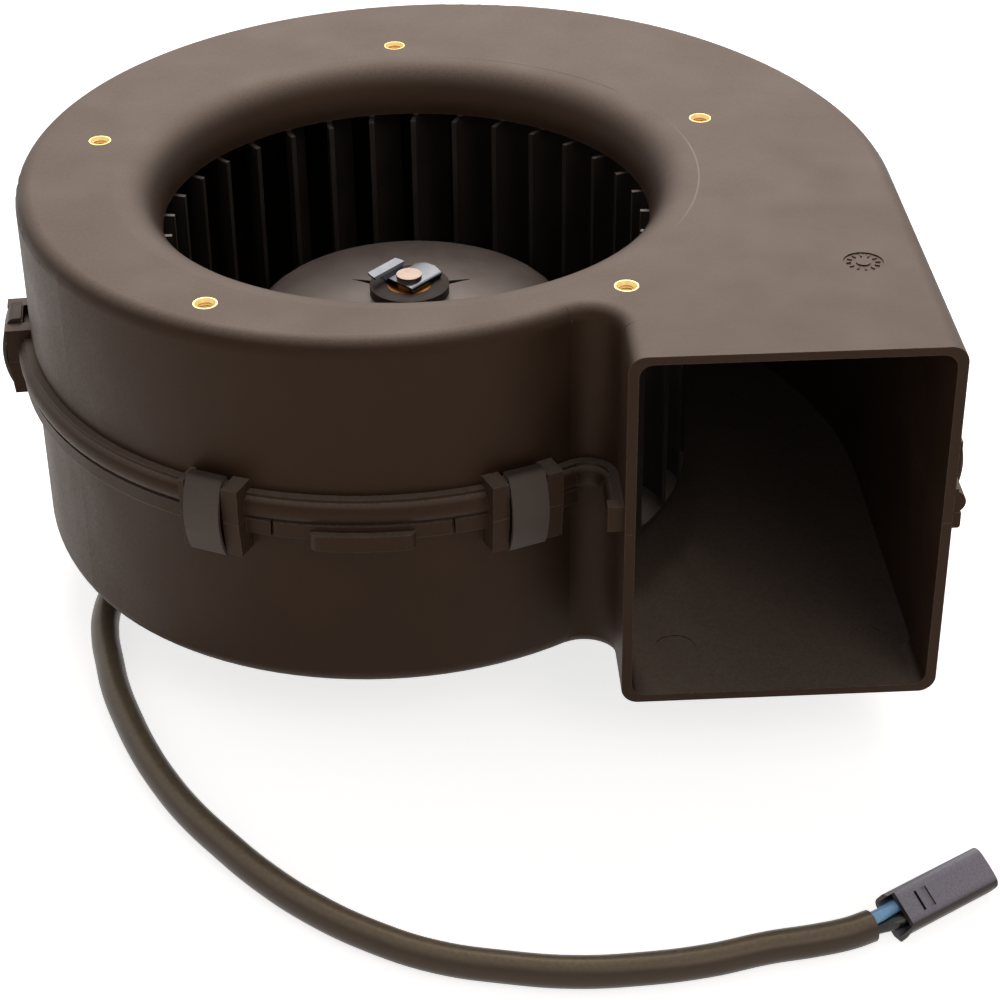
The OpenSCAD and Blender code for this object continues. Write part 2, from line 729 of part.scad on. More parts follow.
// copper in the slots, joined by a bundle at each end of the core
module armature_windings() color("chocolate") {
    on_circle(slot_n, 2 * slot_c) translate([0, 0, core_z0 - room])
        cylinder(r = slot_r - seat, h = core_z1 - core_z0 + 2 * room, $fn = 32);
    ring(core_r - room, bush_r, core_z0 - bundle_h, core_z0 - seat);
    ring(core_r - room, bush_r, core_z1 + seat, core_z1 + bundle_h);
}

module commutator() color("darkorange") difference() {
    ring(commutator_d / 2, shaft_d / 2 + slip, brush_z - brush_h, core_z0 - bundle_h - seat);
    on_circle(slot_n, commutator_d)
        translate([-over, -seat, brush_z - brush_h - over]) cube([2 * over, 2 * seat, core_z0]);
}

module brush_holder() color("#6b4a2a") {
    ring(motor_r - room - seat, motor_r - 2 * room, cap_t, holder_z + holder_t);
    ring(motor_r - 2 * room + over, commutator_d / 2 + room, holder_z, holder_z + holder_t);
    for (s = [0, 180]) rotate(s) difference() {
        translate([commutator_d / 2 + room, -brush_w / 2 - seat - guide_wall, holder_z + over])
            cube([
                guide_end + guide_wall - commutator_d / 2 - room, brush_w + 2 * (seat + guide_wall),
                brush_z + brush_h / 2 + seat + guide_wall - holder_z - over
            ]);
        translate([0, -brush_w / 2 - seat, brush_z - brush_h / 2 - seat])
            cube([guide_end, brush_w + 2 * seat, brush_h + 2 * seat]);
    }
}

module brush(k) color("#303030") rotate(k * 180)
    translate([commutator_d / 2 + seat, -brush_w / 2, brush_z - brush_h / 2])
        cube([brush_l, brush_w, brush_h]);

// a coil spring that presses the brush on to the commutator
module brush_spring(k) color("lightgray") {
    x0 = commutator_d / 2 + 2 * seat + brush_l + spring_wire_r;
    turns = 5;
    steps = 12 * turns;
    step = (guide_end - seat - spring_wire_r - x0) / steps;
    rotate(k * 180) tube(
        [for (i = [0:steps]) [x0 + i * step, spring_r * cos(i * 30), brush_z + spring_r * sin(i * 30)]],
        spring_wire_r, 6
    );
}

module motor_flange() color("darkgray") difference() {
    ring(flange_d / 2, motor_r + slip, flange_z - flange_t, flange_z);
    screw_holes();
}

module flange_gasket() color("#222222") difference() {
    ring(flange_d / 2, motor_r + room, flange_z, floor_z);
    screw_holes();
}

// clearance holes for the flange screws
module screw_holes() {
    on_circle(screw_n, screw_pcd, 45)
        translate([0, 0, screw_foot - over])
            cylinder(d = screw_d + 2 * seat, h = flange_t + gasket_t + 2 * over);
}

module flange_screws() color("silver") on_circle(screw_n, screw_pcd, 45) translate([0, 0, screw_foot]) {
    head_h = 0.6 * screw_d;
    cross_w = 0.3 * screw_d;
    translate([0, 0, -head_h]) difference() {
        cylinder(d = 2 * screw_d, h = head_h);
        translate([-screw_d / 2, -cross_w / 2, -over]) cube([screw_d, cross_w, over + head_h / 2]);
        translate([-cross_w / 2, -screw_d / 2, -over]) cube([cross_w, screw_d, over + head_h / 2]);
    }
    translate([0, 0, -head_h / 4])
        cylinder(d = screw_d, h = flange_t + gasket_t + (boss_top - floor_z) * 2 / 3);
}

// ---- lead ----

module cable_gland() color("#2b2b2b") translate([-gland_x, 0, gland_z]) rotate([0, -90, 0]) difference() {
    union() {
        cylinder(d = gland_boss_d - over, h = gland_l / 4);
        cylinder(d1 = gland_boss_d - 2 * over, d2 = cord_d + 3 * groove, h = gland_l);
    }
    for (i = [1:3])
        translate([0, 0, (1 + 1.6 * i) * gland_l / 8])
            ring(gland_boss_d, cord_d / 2 + groove, 0, gland_l / 12);
}

module cable() color("#2a2624") tube(CORD, cord_d / 2, 10);

// moves to the rear end of the connector, with x along it
module at_plug() {
    translate(plug_base) rotate([0, 0, plug_a]) rotate([plug_roll, 0, 0]) children();
}

// a bar with rounded edges along the connector, from x0 to x1
module plug_bar(x0, x1, w, h, r) {
    translate([x0, 0, 0]) rotate([90, 0, 90]) linear_extrude(x1 - x0) round_rect(w, h, r);
}

module lead_wire(side) at_plug() translate([3 * seat - wire_gap, side * wire_pitch, 0]) rotate([0, 90, 0])
    cylinder(d = wire_d, h = wire_gap + plug_mouth + wire_pitch - 2 * seat, $fn = 24);

module wire_blue() color("cornflowerblue") lead_wire(1);

module wire_black() color("#222222") lead_wire(-1);

module connector_housing() color("#4c4850") at_plug() difference() {
    plug_bar(0, plug_l, plug_w, plug_h, plug_edge_r);
    // mouth for the wires, with the top plate cut back
    plug_bar(-over, plug_mouth, plug_w - 2 * plug_wall, plug_h - 2 * plug_wall, plug_wall);
    translate([-over, -plug_w / 4, plug_h / 2 - 1.5 * plug_wall])
        cube([plug_mouth / 2 + over, plug_w * 3 / 4, plug_h]);
    for (s = [-1, 1]) {
        translate([0, s * wire_pitch, 0]) rotate([0, 90, 0])
            cylinder(d = wire_d + 2 * slip, h = plug_mouth + wire_pitch + seat, $fn = 24);
        // front openings for the pins of the mating half
        translate([plug_l - pin_l, s * pin_pitch - pin_bore / 2, -pin_bore / 2])
            cube([pin_l + over, pin_bore, pin_bore]);
    }
    // slot and window of the latch
    translate([plug_l * 0.3, -plug_w / 4, plug_h / 2 - plug_wall]) cube([plug_wall, plug_w / 2, plug_h]);
    translate([plug_l * 0.38, -plug_w / 4, plug_h / 2 - plug_wall]) cube([plug_l / 10, plug_w / 2, plug_h]);
    // seam between the two cavities
    translate([plug_l / 2, -seat / 2, plug_h / 2 - seat]) cube([plug_l / 2 + over, seat, over]);
}

module connector_terminal(k) color("gold") at_plug() {
    w = pin_bore - 2 * seat;
    translate([plug_l - pin_l, (k == 0 ? 1 : -1) * pin_pitch - w / 2, (seat - pin_bore) / 2])
        cube([pin_l - over, w, w / 3]);
}

upper_housing();
lower_housing();
inlet_inserts();
for (i = [1:clip_n]) clip(i - 1);
impeller_hub();
impeller_blades();
impeller_rim();
hub_bush();
hub_clip();
motor_shaft();
motor_can();
motor_front_cap();
motor_rear_cap();
front_bush();
rear_bush();
for (i = [1:2]) magnet(i - 1);
armature_core();
armature_windings();
commutator();
brush_holder();
for (i = [1:2]) brush(i - 1);
for (i = [1:2]) brush_spring(i - 1);
motor_flange();
flange_gasket();
flange_screws();
cable_gland();
cable();
wire_blue();
wire_black();
connector_housing();
for (i = [1:2]) connector_terminal(i - 1);
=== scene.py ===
"""A dc blower: a scroll housing in two halves, a bladed wheel on its motor, and its lead.

Each sub-assembly is a class whose fields are its sizes in millimetres. The CAD nodes
are dressed where they stand, and the pieces that need finer form than the CAD has are
built here and take the place of their nodes.
"""

import itertools
import logging
import math
from dataclasses import dataclass, field
from enum import Enum
from typing import Any, Callable, ClassVar, NamedTuple, Sequence

import bmesh
import bpy
from mathutils import Matrix, Vector


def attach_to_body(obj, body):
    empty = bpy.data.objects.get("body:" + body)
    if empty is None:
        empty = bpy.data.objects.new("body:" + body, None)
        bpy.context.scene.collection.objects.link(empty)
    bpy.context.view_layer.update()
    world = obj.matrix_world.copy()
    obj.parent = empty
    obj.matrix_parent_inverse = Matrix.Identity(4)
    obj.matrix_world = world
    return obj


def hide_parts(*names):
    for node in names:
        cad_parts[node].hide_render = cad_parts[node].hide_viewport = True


LOG = logging.getLogger("blower")
MM = 0.001
# Edges that turn by more than this stay crisp.
SHARP = math.radians(28)
# The mix node's two colour inputs share their names with others, so they go by number.
MIX_UNDER, MIX_OVER = 6, 7
WHITE = (1.0, 1.0, 1.0, 1.0)

Pair = tuple[float, float]
Point = tuple[float, float, float]
Tree = bpy.types.NodeTree
Socket = bpy.types.NodeSocket
Body = bmesh.types.BMesh

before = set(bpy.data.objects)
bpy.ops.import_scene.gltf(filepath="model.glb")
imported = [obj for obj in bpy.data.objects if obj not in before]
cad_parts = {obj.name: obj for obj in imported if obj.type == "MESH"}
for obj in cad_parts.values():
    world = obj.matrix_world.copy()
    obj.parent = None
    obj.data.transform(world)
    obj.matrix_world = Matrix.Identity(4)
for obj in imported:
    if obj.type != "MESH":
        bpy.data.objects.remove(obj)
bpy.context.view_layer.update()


# ---------------------------------------------------------------- shared helpers


def srgb(code: str) -> tuple[float, float, float, float]:
    """Turns a hex colour as the eye reads it into Blender's linear colour.

    Args:
        code: Six hex digits after a hash.

    Returns:
        Red, green, blue and an alpha of one.
    """
    parts = (int(code[i : i + 2], 16) / 255 for i in (1, 3, 5))
    linear = [c / 12.92 if c <= 0.04045 else ((c + 0.055) / 1.055) ** 2.4 for c in parts]
    return (*linear, 1.0)


def per_mm(size: float) -> float:
    """Gives the texture scale whose features are size millimetres across."""
    return 1 / (size * MM)


def add_node(
    tree: Tree,
    kind: str,
    settings: dict[str | int, Any] | None = None,
    links: dict[str | int, Socket] | None = None,
) -> bpy.types.Node:
    """Adds one node with its settings and its incoming links.

    Args:
        tree: The material's or world's node tree.
        kind: The node's type, without its ShaderNode prefix.
        settings: Properties of the node by name, and input values by name or number.
        links: Sockets that feed the node's inputs, by name or number.

    Returns:
        The new node.
    """
    node = tree.nodes.new("ShaderNode" + kind)
    for key, value in (settings or {}).items():
        if isinstance(key, str) and hasattr(node, key):
            setattr(node, key, value)
        else:
            node.inputs[key].default_value = value
    for key, socket in (links or {}).items():
        tree.links.new(socket, node.inputs[key])
    return node


def ramp(tree: Tree, factor: Socket, low: float, high: float) -> Socket:
    """Stretches a pattern so that low becomes 0 and high becomes 1.

    Args:
        tree: The material's node tree.
        factor: The pattern.
        low: The value that becomes 0.
        high: The value that becomes 1.

    Returns:
        The stretched and clamped value.
    """
    settings = {"interpolation_type": "SMOOTHSTEP", 1: low, 2: high}
    return add_node(tree, "MapRange", settings, {0: factor}).outputs[0]


def spread_out(tree: Tree, factor: Socket, given: Pair, wanted: Pair) -> Socket:
    """Moves a pattern's range onto another range, in a straight line.

    Args:
        tree: The node tree.
        factor: The pattern.
        given: The range that it has.
        wanted: The range that it gets.

    Returns:
        The moved and clamped value.
    """
    settings = {1: given[0], 2: given[1], 3: wanted[0], 4: wanted[1]}
    return add_node(tree, "MapRange", settings, {0: factor}).outputs[0]


def maths(
    tree: Tree, operation: str, first: Socket, second: Socket | float | None = None
) -> Socket:
    """Works on one pattern, alone or with another pattern or a plain number.

    Args:
        tree: The node tree.
        operation: The sum, as Blender names it.
        first: The pattern.
        second: The other pattern or number, where the sum has one.

    Returns:
        The result's socket.
    """
    settings: dict[str | int, Any] = {"operation": operation}
    links = {0: first}
    if isinstance(second, Socket):
        links[1] = second
    elif second is not None:
        settings[1] = second
    return add_node(tree, "Math", settings, links).outputs[0]


def laid_over(tree: Tree, colour: Socket, shade: str, amount: Socket) -> Socket:
    """Lays a shade over a colour.

    Args:
        tree: The material's node tree.
        colour: The colour underneath.
        shade: The shade on top, in hex.
        amount: The pattern that says how much of it shows.

    Returns:
        The mixed colour.
    """
    links = {"Factor": amount, MIX_UNDER: colour}
    mix = add_node(tree, "Mix", {"data_type": "RGBA", MIX_OVER: srgb(shade)}, links)
    return mix.outputs["Result"]


class Stretch(Enum):
    """How a grain runs, as the scale of its pattern along X, Y and Z."""

    NONE = (1.0, 1.0, 1.0)
    ALONG_Z = (1.0, 1.0, 0.06)


# ---------------------------------------------------------------- finishes


@dataclass(frozen=True)
class BellLineLight:
    """One stretch of painted shade or painted highlight along the line where the inlet's bell
    meets the top, round the upright axis.

    The turn says where it sets in, is whole, begins to fade and ends, in radians.
    """

    shade: str
    turn: tuple[float, float, float, float]
    strength: float


# Painted shade along the bell's line behind the inlet, and a painted highlight on its right.
BELL_LINE_LIGHTS = (
    BellLineLight("#2c221c", (0.62, 0.72, 1.05, 1.75), 0.85),
    BellLineLight("#bcaea4", (-0.6, -0.3, 0.1, 0.4), 0.32),
)


@dataclass(frozen=True)
class Finish:
    """A surface as it was made: its colour, its gloss and the grain that the making leaves.

    Sizes are in millimetres. The tone is how far cloudy patches move the colour
    towards its worn shade, the relief how deep the grain is, and the spread how far
    the roughness wanders. The dust and top light is a pale film on what faces up, part
    dust and part painted light on top faces. The edge wear and highlight is a paler shade
    on crisp edges, part wear and part painted highlight. The ring is the radius of the line
    where the inlet's bell meets the top, along which shade and a highlight are painted.
    """

    name: str
    colour: str
    worn: str
    roughness: float
    metallic: float = 0.0
    ior: float = 1.5
    patch: float = 14.0
    tone: float = 0.35
    grain: float = 0.6
    relief: float = 0.01
    spread: float = 0.12
    stretch: Stretch = Stretch.NONE
    specular: float = 0.5
    tint: str = "#ffffff"
    dust_and_top_light: str = ""
    dust_and_top_light_amount: float = 0.0
    coat: float = 0.0
    coat_roughness: float = 0.2
    edge_wear_and_highlight: str = ""
    ring: float = 0.0

    # How fine and how rough the two noises are, and where a noise's values begin and end.
    CLOUD_DETAIL: ClassVar[Pair] = (4.0, 0.55)
    GRAIN_DETAIL: ClassVar[Pair] = (3.0, 0.6)
    NOISE: ClassVar[Pair] = (0.3, 0.7)
    # Where the cloudy patches set in and are whole.
    CLOUD: ClassVar[Pair] = (0.38, 0.7)
    # How far up a face looks where the film of dust and painted top light sets in and is whole.
    FILM_FACING: ClassVar[Pair] = (0.55, 1.0)
    # How much the grain thins and thickens the film.
    FILM_BREAK: ClassVar[Pair] = (0.75, 1.15)
    # How round an edge is taken to be, and how much of its paler shade, part wear and part
    # painted highlight, it shows at most.
    EDGE_RADIUS: ClassVar[float] = 0.5
    EDGE_TURN: ClassVar[Pair] = (0.99, 0.8)
    EDGE_MOST: ClassVar[float] = 0.55
    EDGE_BREAK: ClassVar[Pair] = (0.35, 0.6)
    # Half the painted line's width where it ends and where it is whole, and the heights it needs.
    LINE_WIDTH: ClassVar[Pair] = (0.4, 0.1)
    LINE_HEIGHT: ClassVar[Pair] = (130.0, 137.0)

    def material(self) -> bpy.types.Material:
        """Builds the finish once and hands out the same material after that.

        Returns:
            The material of this finish.
        """
        ready = bpy.data.materials.get(self.name)
        if ready:
            return ready
        made = bpy.data.materials.new(self.name)
        made.use_nodes = True
        tree = made.node_tree
        shader = tree.nodes["Principled BSDF"]
        self._set_plain(shader)
        place = add_node(tree, "TexCoord").outputs["Object"]
        stretch = {"Scale": self.stretch.value}
        turned = add_node(tree, "Mapping", stretch, {"Vector": place}).outputs[0]
        cloud = self._noise(tree, place, self.patch, self.CLOUD_DETAIL)
        grain = self._noise(tree, turned, self.grain, self.GRAIN_DETAIL)
        tree.links.new(self._colour(tree, place, cloud, grain), shader.inputs["Base Color"])
        evenly = {"data_type": "FLOAT", "Factor": 0.5}
        uneven = add_node(tree, "Mix", evenly, {"A": cloud, "B": grain})
        smooth, coarse = self.roughness - self.spread, self.roughness + self.spread
        rough = spread_out(tree, uneven.outputs["Result"], self.NOISE, (smooth, coarse))
        tree.links.new(rough, shader.inputs["Roughness"])
        relief = {"Strength": 1.0, "Distance": self.relief * MM}
        bump = add_node(tree, "Bump", relief, {"Height": grain})
        tree.links.new(bump.outputs[0], shader.inputs["Normal"])
        return made

    def _set_plain(self, shader: bpy.types.Node) -> None:
        """Sets what is the same all over on the shader's own inputs."""
        shader.inputs["Metallic"].default_value = self.metallic
        if not self.metallic:
            shader.inputs["IOR"].default_value = self.ior
        shader.inputs["Specular IOR Level"].default_value = self.specular
        shader.inputs["Specular Tint"].default_value = srgb(self.tint)
        shader.inputs["Coat Weight"].default_value = self.coat
        shader.inputs["Coat Roughness"].default_value = self.coat_roughness

    def _colour(self, tree: Tree, place: Socket, cloud: Socket, grain: Socket) -> Socket:
        """Puts the colour together: cloudy patches, paler edges of wear and painted highlight,
        a film of dust and painted top light, and the bell's painted line of shade and highlight.

        Args:
            tree: The material's node tree.
            place: The place on the object.
            cloud: The pattern of the patches.
            grain: The grain that breaks the rest up.

        Returns:
            The finished colour.
        """
        plain = {"data_type": "RGBA", MIX_UNDER: srgb(self.colour), MIX_OVER: srgb(self.worn)}
        patches = maths(tree, "MULTIPLY", ramp(tree, cloud, *self.CLOUD), self.tone)
        colour = add_node(tree, "Mix", plain, {"Factor": patches}).outputs["Result"]
        # Paler crisp edges: part wear, part painted highlight.
        if self.edge_wear_and_highlight:
            colour = self._edged(tree, colour, grain)
        # A pale film on top faces: part dust, part painted top light.
        if self.dust_and_top_light:
            colour = self._dusted_and_top_lit(tree, colour, grain)
        # Painted shade and a painted highlight along the line where the bell meets the top.
        if self.ring:
            colour = self._bell_line_lit(tree, colour, place)
        return colour

    @staticmethod
    def _noise(tree: Tree, place: Socket, size: float, detail: Pair) -> Socket:
        """Adds a noise whose features are size millimetres across, as fine as detail says."""
        settings = {"Scale": per_mm(size), "Detail": detail[0], "Roughness": detail[1]}
        return add_node(tree, "TexNoise", settings, {"Vector": place}).outputs["Fac"]

    def _edged(self, tree: Tree, colour: Socket, grain: Socket) -> Socket:
        """Pales the crisp edges: part wear where handling has rubbed them, part a painted
        highlight.

        Args:
            tree: The material's node tree.
            colour: The colour away from the edges.
            grain: The grain that breaks the wear and the painted highlight up.

        Returns:
            The colour with its paler edges.
        """
        plain = add_node(tree, "NewGeometry").outputs["Normal"]
        easing = {"samples": 4, "Radius": self.EDGE_RADIUS * MM}
        eased = add_node(tree, "Bevel", easing).outputs[0]
        turned = add_node(tree, "VectorMath", {"operation": "DOT_PRODUCT"}, {0: plain, 1: eased})
        edge = spread_out(tree, turned.outputs["Value"], self.EDGE_TURN, (0.0, self.EDGE_MOST))
        amount = maths(tree, "MULTIPLY", edge, ramp(tree, grain, *self.EDGE_BREAK))
        return laid_over(tree, colour, self.edge_wear_and_highlight, amount)

    def _dusted_and_top_lit(self, tree: Tree, colour: Socket, grain: Socket) -> Socket:
        """Lays a thin film on what faces up, part dust and part painted light on top faces.

        Args:
            tree: The material's node tree.
            colour: The colour under the film.
            grain: The grain that breaks the film up.

        Returns:
            The colour with the film on it.
        """
        normal = add_node(tree, "TexCoord").outputs["Normal"]
        facing = add_node(tree, "SeparateXYZ", links={0: normal}).outputs[2]
        whole = ramp(tree, facing, *self.FILM_FACING)
        film = maths(tree, "MULTIPLY", whole, self.dust_and_top_light_amount)
        broken = spread_out(tree, grain, self.NOISE, self.FILM_BREAK)
        return laid_over(tree, colour, self.dust_and_top_light, maths(tree, "MULTIPLY", film, broken))

    def _bell_line_lit(self, tree: Tree, colour: Socket, place: Socket) -> Socket:
        """Paints shade and a highlight along the line where the inlet's bell meets the top:
        painted shade behind the inlet and a painted highlight on its right.

        Args:
            tree: The material's node tree.
            colour: The colour off the line.
            place: The place on the object.

        Returns:
            The colour with the line on it.
        """
        across, along, height = add_node(tree, "SeparateXYZ", links={0: place}).outputs
        flat = add_node(tree, "CombineXYZ", links={0: across, 1: along}).outputs[0]
        reach = add_node(tree, "VectorMath", {"operation": "LENGTH"}, {0: flat})
        off = maths(tree, "SUBTRACT", reach.outputs["Value"], self.ring * MM)
        line = maths(
            tree,
            "MULTIPLY",
            ramp(tree, maths(tree, "ABSOLUTE", off), *(w * MM for w in self.LINE_WIDTH)),
            ramp(tree, height, *(h * MM for h in self.LINE_HEIGHT)),
        )
        angle = maths(tree, "ARCTAN2", along, across)
        for part in BELL_LINE_LIGHTS:
            begin, whole, fade, end = part.turn
            rise, fall = ramp(tree, angle, begin, whole), ramp(tree, angle, end, fade)
            drawn = maths(tree, "MULTIPLY", maths(tree, "MULTIPLY", rise, fall), line)
            amount = maths(tree, "MULTIPLY", drawn, part.strength)
            colour = laid_over(tree, colour, part.shade, amount)
        return colour


# Glass-filled nylon from a polished tool is a brown black with a soft gloss. It carries a pale
# film on top, part dust and part painted top light; its crisp edges are paler, part wear and
# part painted highlight; and shade and a highlight are painted along the bell's line.
HOUSING_NYLON = Finish(
    "moulded_glass_filled_nylon",
    "#281a12",
    "#37281e",
    0.54,
    patch=22.0,
    grain=0.9,
    relief=0.012,
    spread=0.1,
    specular=0.26,
    tint="#f2d0b8",
    dust_and_top_light="#8f8076",
    dust_and_top_light_amount=0.47,
    edge_wear_and_highlight="#75695f",
    ring=89.6,
)
# The wheel is the same nylon from a plainer tool, a little blacker. The pale film on its top
# faces is part dust and part painted top light.
WHEEL_NYLON = Finish(
    "moulded_nylon_wheel",
    "#2b2623",
    "#37312e",
    0.44,
    patch=12.0,
    grain=0.8,
    relief=0.01,
    tint="#f2dfd2",
    dust_and_top_light="#7d706c",
    dust_and_top_light_amount=0.3,
)
# The hub's rim is a darker, duller nylon than the rest of the wheel, with no film on top.
DARK_RIM_NYLON = Finish(
    "dark_nylon_rim", "#241812", "#30231c", 0.6, patch=6.0, grain=0.5, relief=0.01, specular=0.15
)
# Turned brass has a yellow glint and a fine grain from the lathe.
TURNED_BRASS = Finish(
    "turned_brass", "#f0cf8a", "#d9a95c", 0.3, metallic=1.0, patch=2.0, grain=0.25, relief=0.01
)
# Spring steel with a dark phosphate bath is matt, brown grey and slightly mottled.
PHOSPHATED_STEEL = Finish(
    "phosphated_spring_steel",
    "#3e3631",
    "#4e443c",
    0.58,
    metallic=0.25,
    patch=6.0,
    grain=0.35,
    relief=0.008,
    tint="#f0e0d6",
)
# Zinc plate over sheet steel is bluish grey and mirrors the room softly.
ZINC_PLATE = Finish(
    "bright_zinc_plate",
    "#585b61",
    "#4a4d52",
    0.26,
    metallic=1.0,
    patch=5.0,
    grain=0.5,
    relief=0.003,
    spread=0.06,
)
# Ground shaft steel is a soft, warm grey mirror with a fine grain.
GROUND_STEEL = Finish(
    "ground_shaft_steel",
    "#8c7d74",
    "#7b6e67",
    0.36,
    metallic=1.0,
    patch=3.0,
    grain=0.3,
    relief=0.004,
    spread=0.06,
)
# Sintered bronze holds oil in its pores, so it is orange brown and a little wet.
SINTERED_BRONZE = Finish(
    "sintered_bronze", "#a0662f", "#6e4520", 0.34, metallic=1.0, patch=2.5, grain=0.3, relief=0.02
)
# The motor's drawn can is black passivated, with faint drawing lines up its side.
PASSIVATED_CAN = Finish(
    "black_passivated_can",
    "#35332f",
    "#4b473f",
    0.36,
    metallic=0.8,
    patch=16.0,
    grain=0.7,
    relief=0.006,
    stretch=Stretch.ALONG_Z,
)
# The end caps are plain moulded nylon, black with a soft gloss.
CAP_NYLON = Finish(
    "moulded_cap_nylon", "#1d1b1a", "#2b2826", 0.5, patch=9.0, grain=0.6, relief=0.015
)
# Hard ferrite is charcoal grey and grainy from sintering.
FERRITE = Finish(
    "sintered_ferrite", "#3b3b3e", "#2c2c2f", 0.62, metallic=0.3, patch=4.0, grain=0.4, relief=0.03
)
# Stacked electrical steel is light grey, with a soft shine off its cut edges.
LAMINATION = Finish(
    "stacked_lamination",
    "#8b8f96",
    "#70747b",
    0.4,
    metallic=1.0,
    patch=7.0,
    grain=0.35,
    relief=0.02,
)
# Enamelled copper has a clear orange brown varnish.
ENAMELLED_COPPER = Finish(
    "enamelled_copper",
    "#a5522a",
    "#7c3a1c",
    0.3,
    metallic=0.9,
    patch=3.0,
    grain=0.4,
    relief=0.05,
    coat=0.4,
)
# Pressed carbon is dull black with a slight grey shine where it rubs.
PRESSED_CARBON = Finish(
    "pressed_carbon", "#1f2022", "#34353a", 0.55, patch=2.0, grain=0.3, relief=0.02
)
# Paper-filled phenolic is chestnut brown.
PHENOLIC = Finish(
    "moulded_phenolic", "#5b3620", "#46281a", 0.45, patch=5.0, grain=0.5, relief=0.015
)
# Soft black rubber, dull and even.
RUBBER = Finish("moulded_rubber", "#1d1c1b", "#2a2827", 0.62, patch=6.0, grain=0.5, relief=0.02)
# The lead's sleeve is smooth extruded vinyl, brown black, with one soft highlight along it.
# The pale film on its top is part dust and part a painted highlight.
EXTRUDED_SLEEVE = Finish(
    "extruded_vinyl_sleeve",
    "#30271f",
    "#3d3228",
    0.36,
    patch=18.0,
    grain=1.2,
    relief=0.01,
    spread=0.07,
    tint="#f4dcc8",
    dust_and_top_light="#94866f",
    dust_and_top_light_amount=0.48,
)
# The wires' insulation is smooth, and glossier than the sleeve.
BLUE_INSULATION = Finish(
    "blue_wire_insulation", "#8cc0ee", "#7cb0de", 0.3, patch=4.0, grain=0.6, relief=0.006
)
BLACK_INSULATION = Finish(
    "black_wire_insulation", "#1a1918", "#232120", 0.3, patch=4.0, grain=0.6, relief=0.006
)
# The connector's body is a brown black polyester. The lilac grey film on its top faces is
# part bloom and part painted sheen.
CONNECTOR_POLYESTER = Finish(
    "moulded_connector_polyester",
    "#2c211d",
    "#392d28",
    0.44,
    patch=5.0,
    grain=0.5,
    relief=0.012,
    specular=0.4,
    dust_and_top_light="#aaa4b4",
    dust_and_top_light_amount=0.85,
)


# ---------------------------------------------------------------- camera and light


@dataclass
class Viewpoint:
    """The camera, given by where it stands round the inlet and how it is aimed.

    The lens is in millimetres, its angles are in degrees and the rest is in metres.
    """

    lens: float = 88.51
    nearest: float = 0.01
    azimuth: float = -2.7113
    elevation: float = 32.7177
    roll: float = -0.6206
    distance: float = 0.75312
    aside: float = 0.02889
    above: float = -0.10093
    aim_height: float = 0.140

    def build(self) -> bpy.types.Object:
        """Makes the scene's camera.

        Returns:
            The camera object.
        """
        data = bpy.data.cameras.new("camera")
        data.lens = self.lens
        data.clip_start = self.nearest
        camera = bpy.data.objects.new("camera", data)
        bpy.context.collection.objects.link(camera)
        turn, tilt, roll = map(math.radians, (self.azimuth, self.elevation, self.roll))
        flat = math.cos(tilt)
        back = Vector((math.sin(turn) * flat, -math.cos(turn) * flat, math.sin(tilt)))
        level = Vector((0, 0, 1)).cross(back).normalized()
        upright = back.cross(level)
        right = level * math.cos(roll) + upright * math.sin(roll)
        up = upright * math.cos(roll) - level * math.sin(roll)
        spot = back * self.distance + right * self.aside + up * self.above
        spot.z += self.aim_height
        turned = Matrix((right, up, back)).transposed().to_4x4()
        camera.matrix_world = Matrix.Translation(spot) @ turned
        bpy.context.scene.camera = camera
        return camera


@dataclass(frozen=True)
class Lamp:
    """One square lamp: where it hangs and its side in metres, its power in watts and its colour."""

    name: str
    spot: Point
    size: float
    power: float
    colour: str


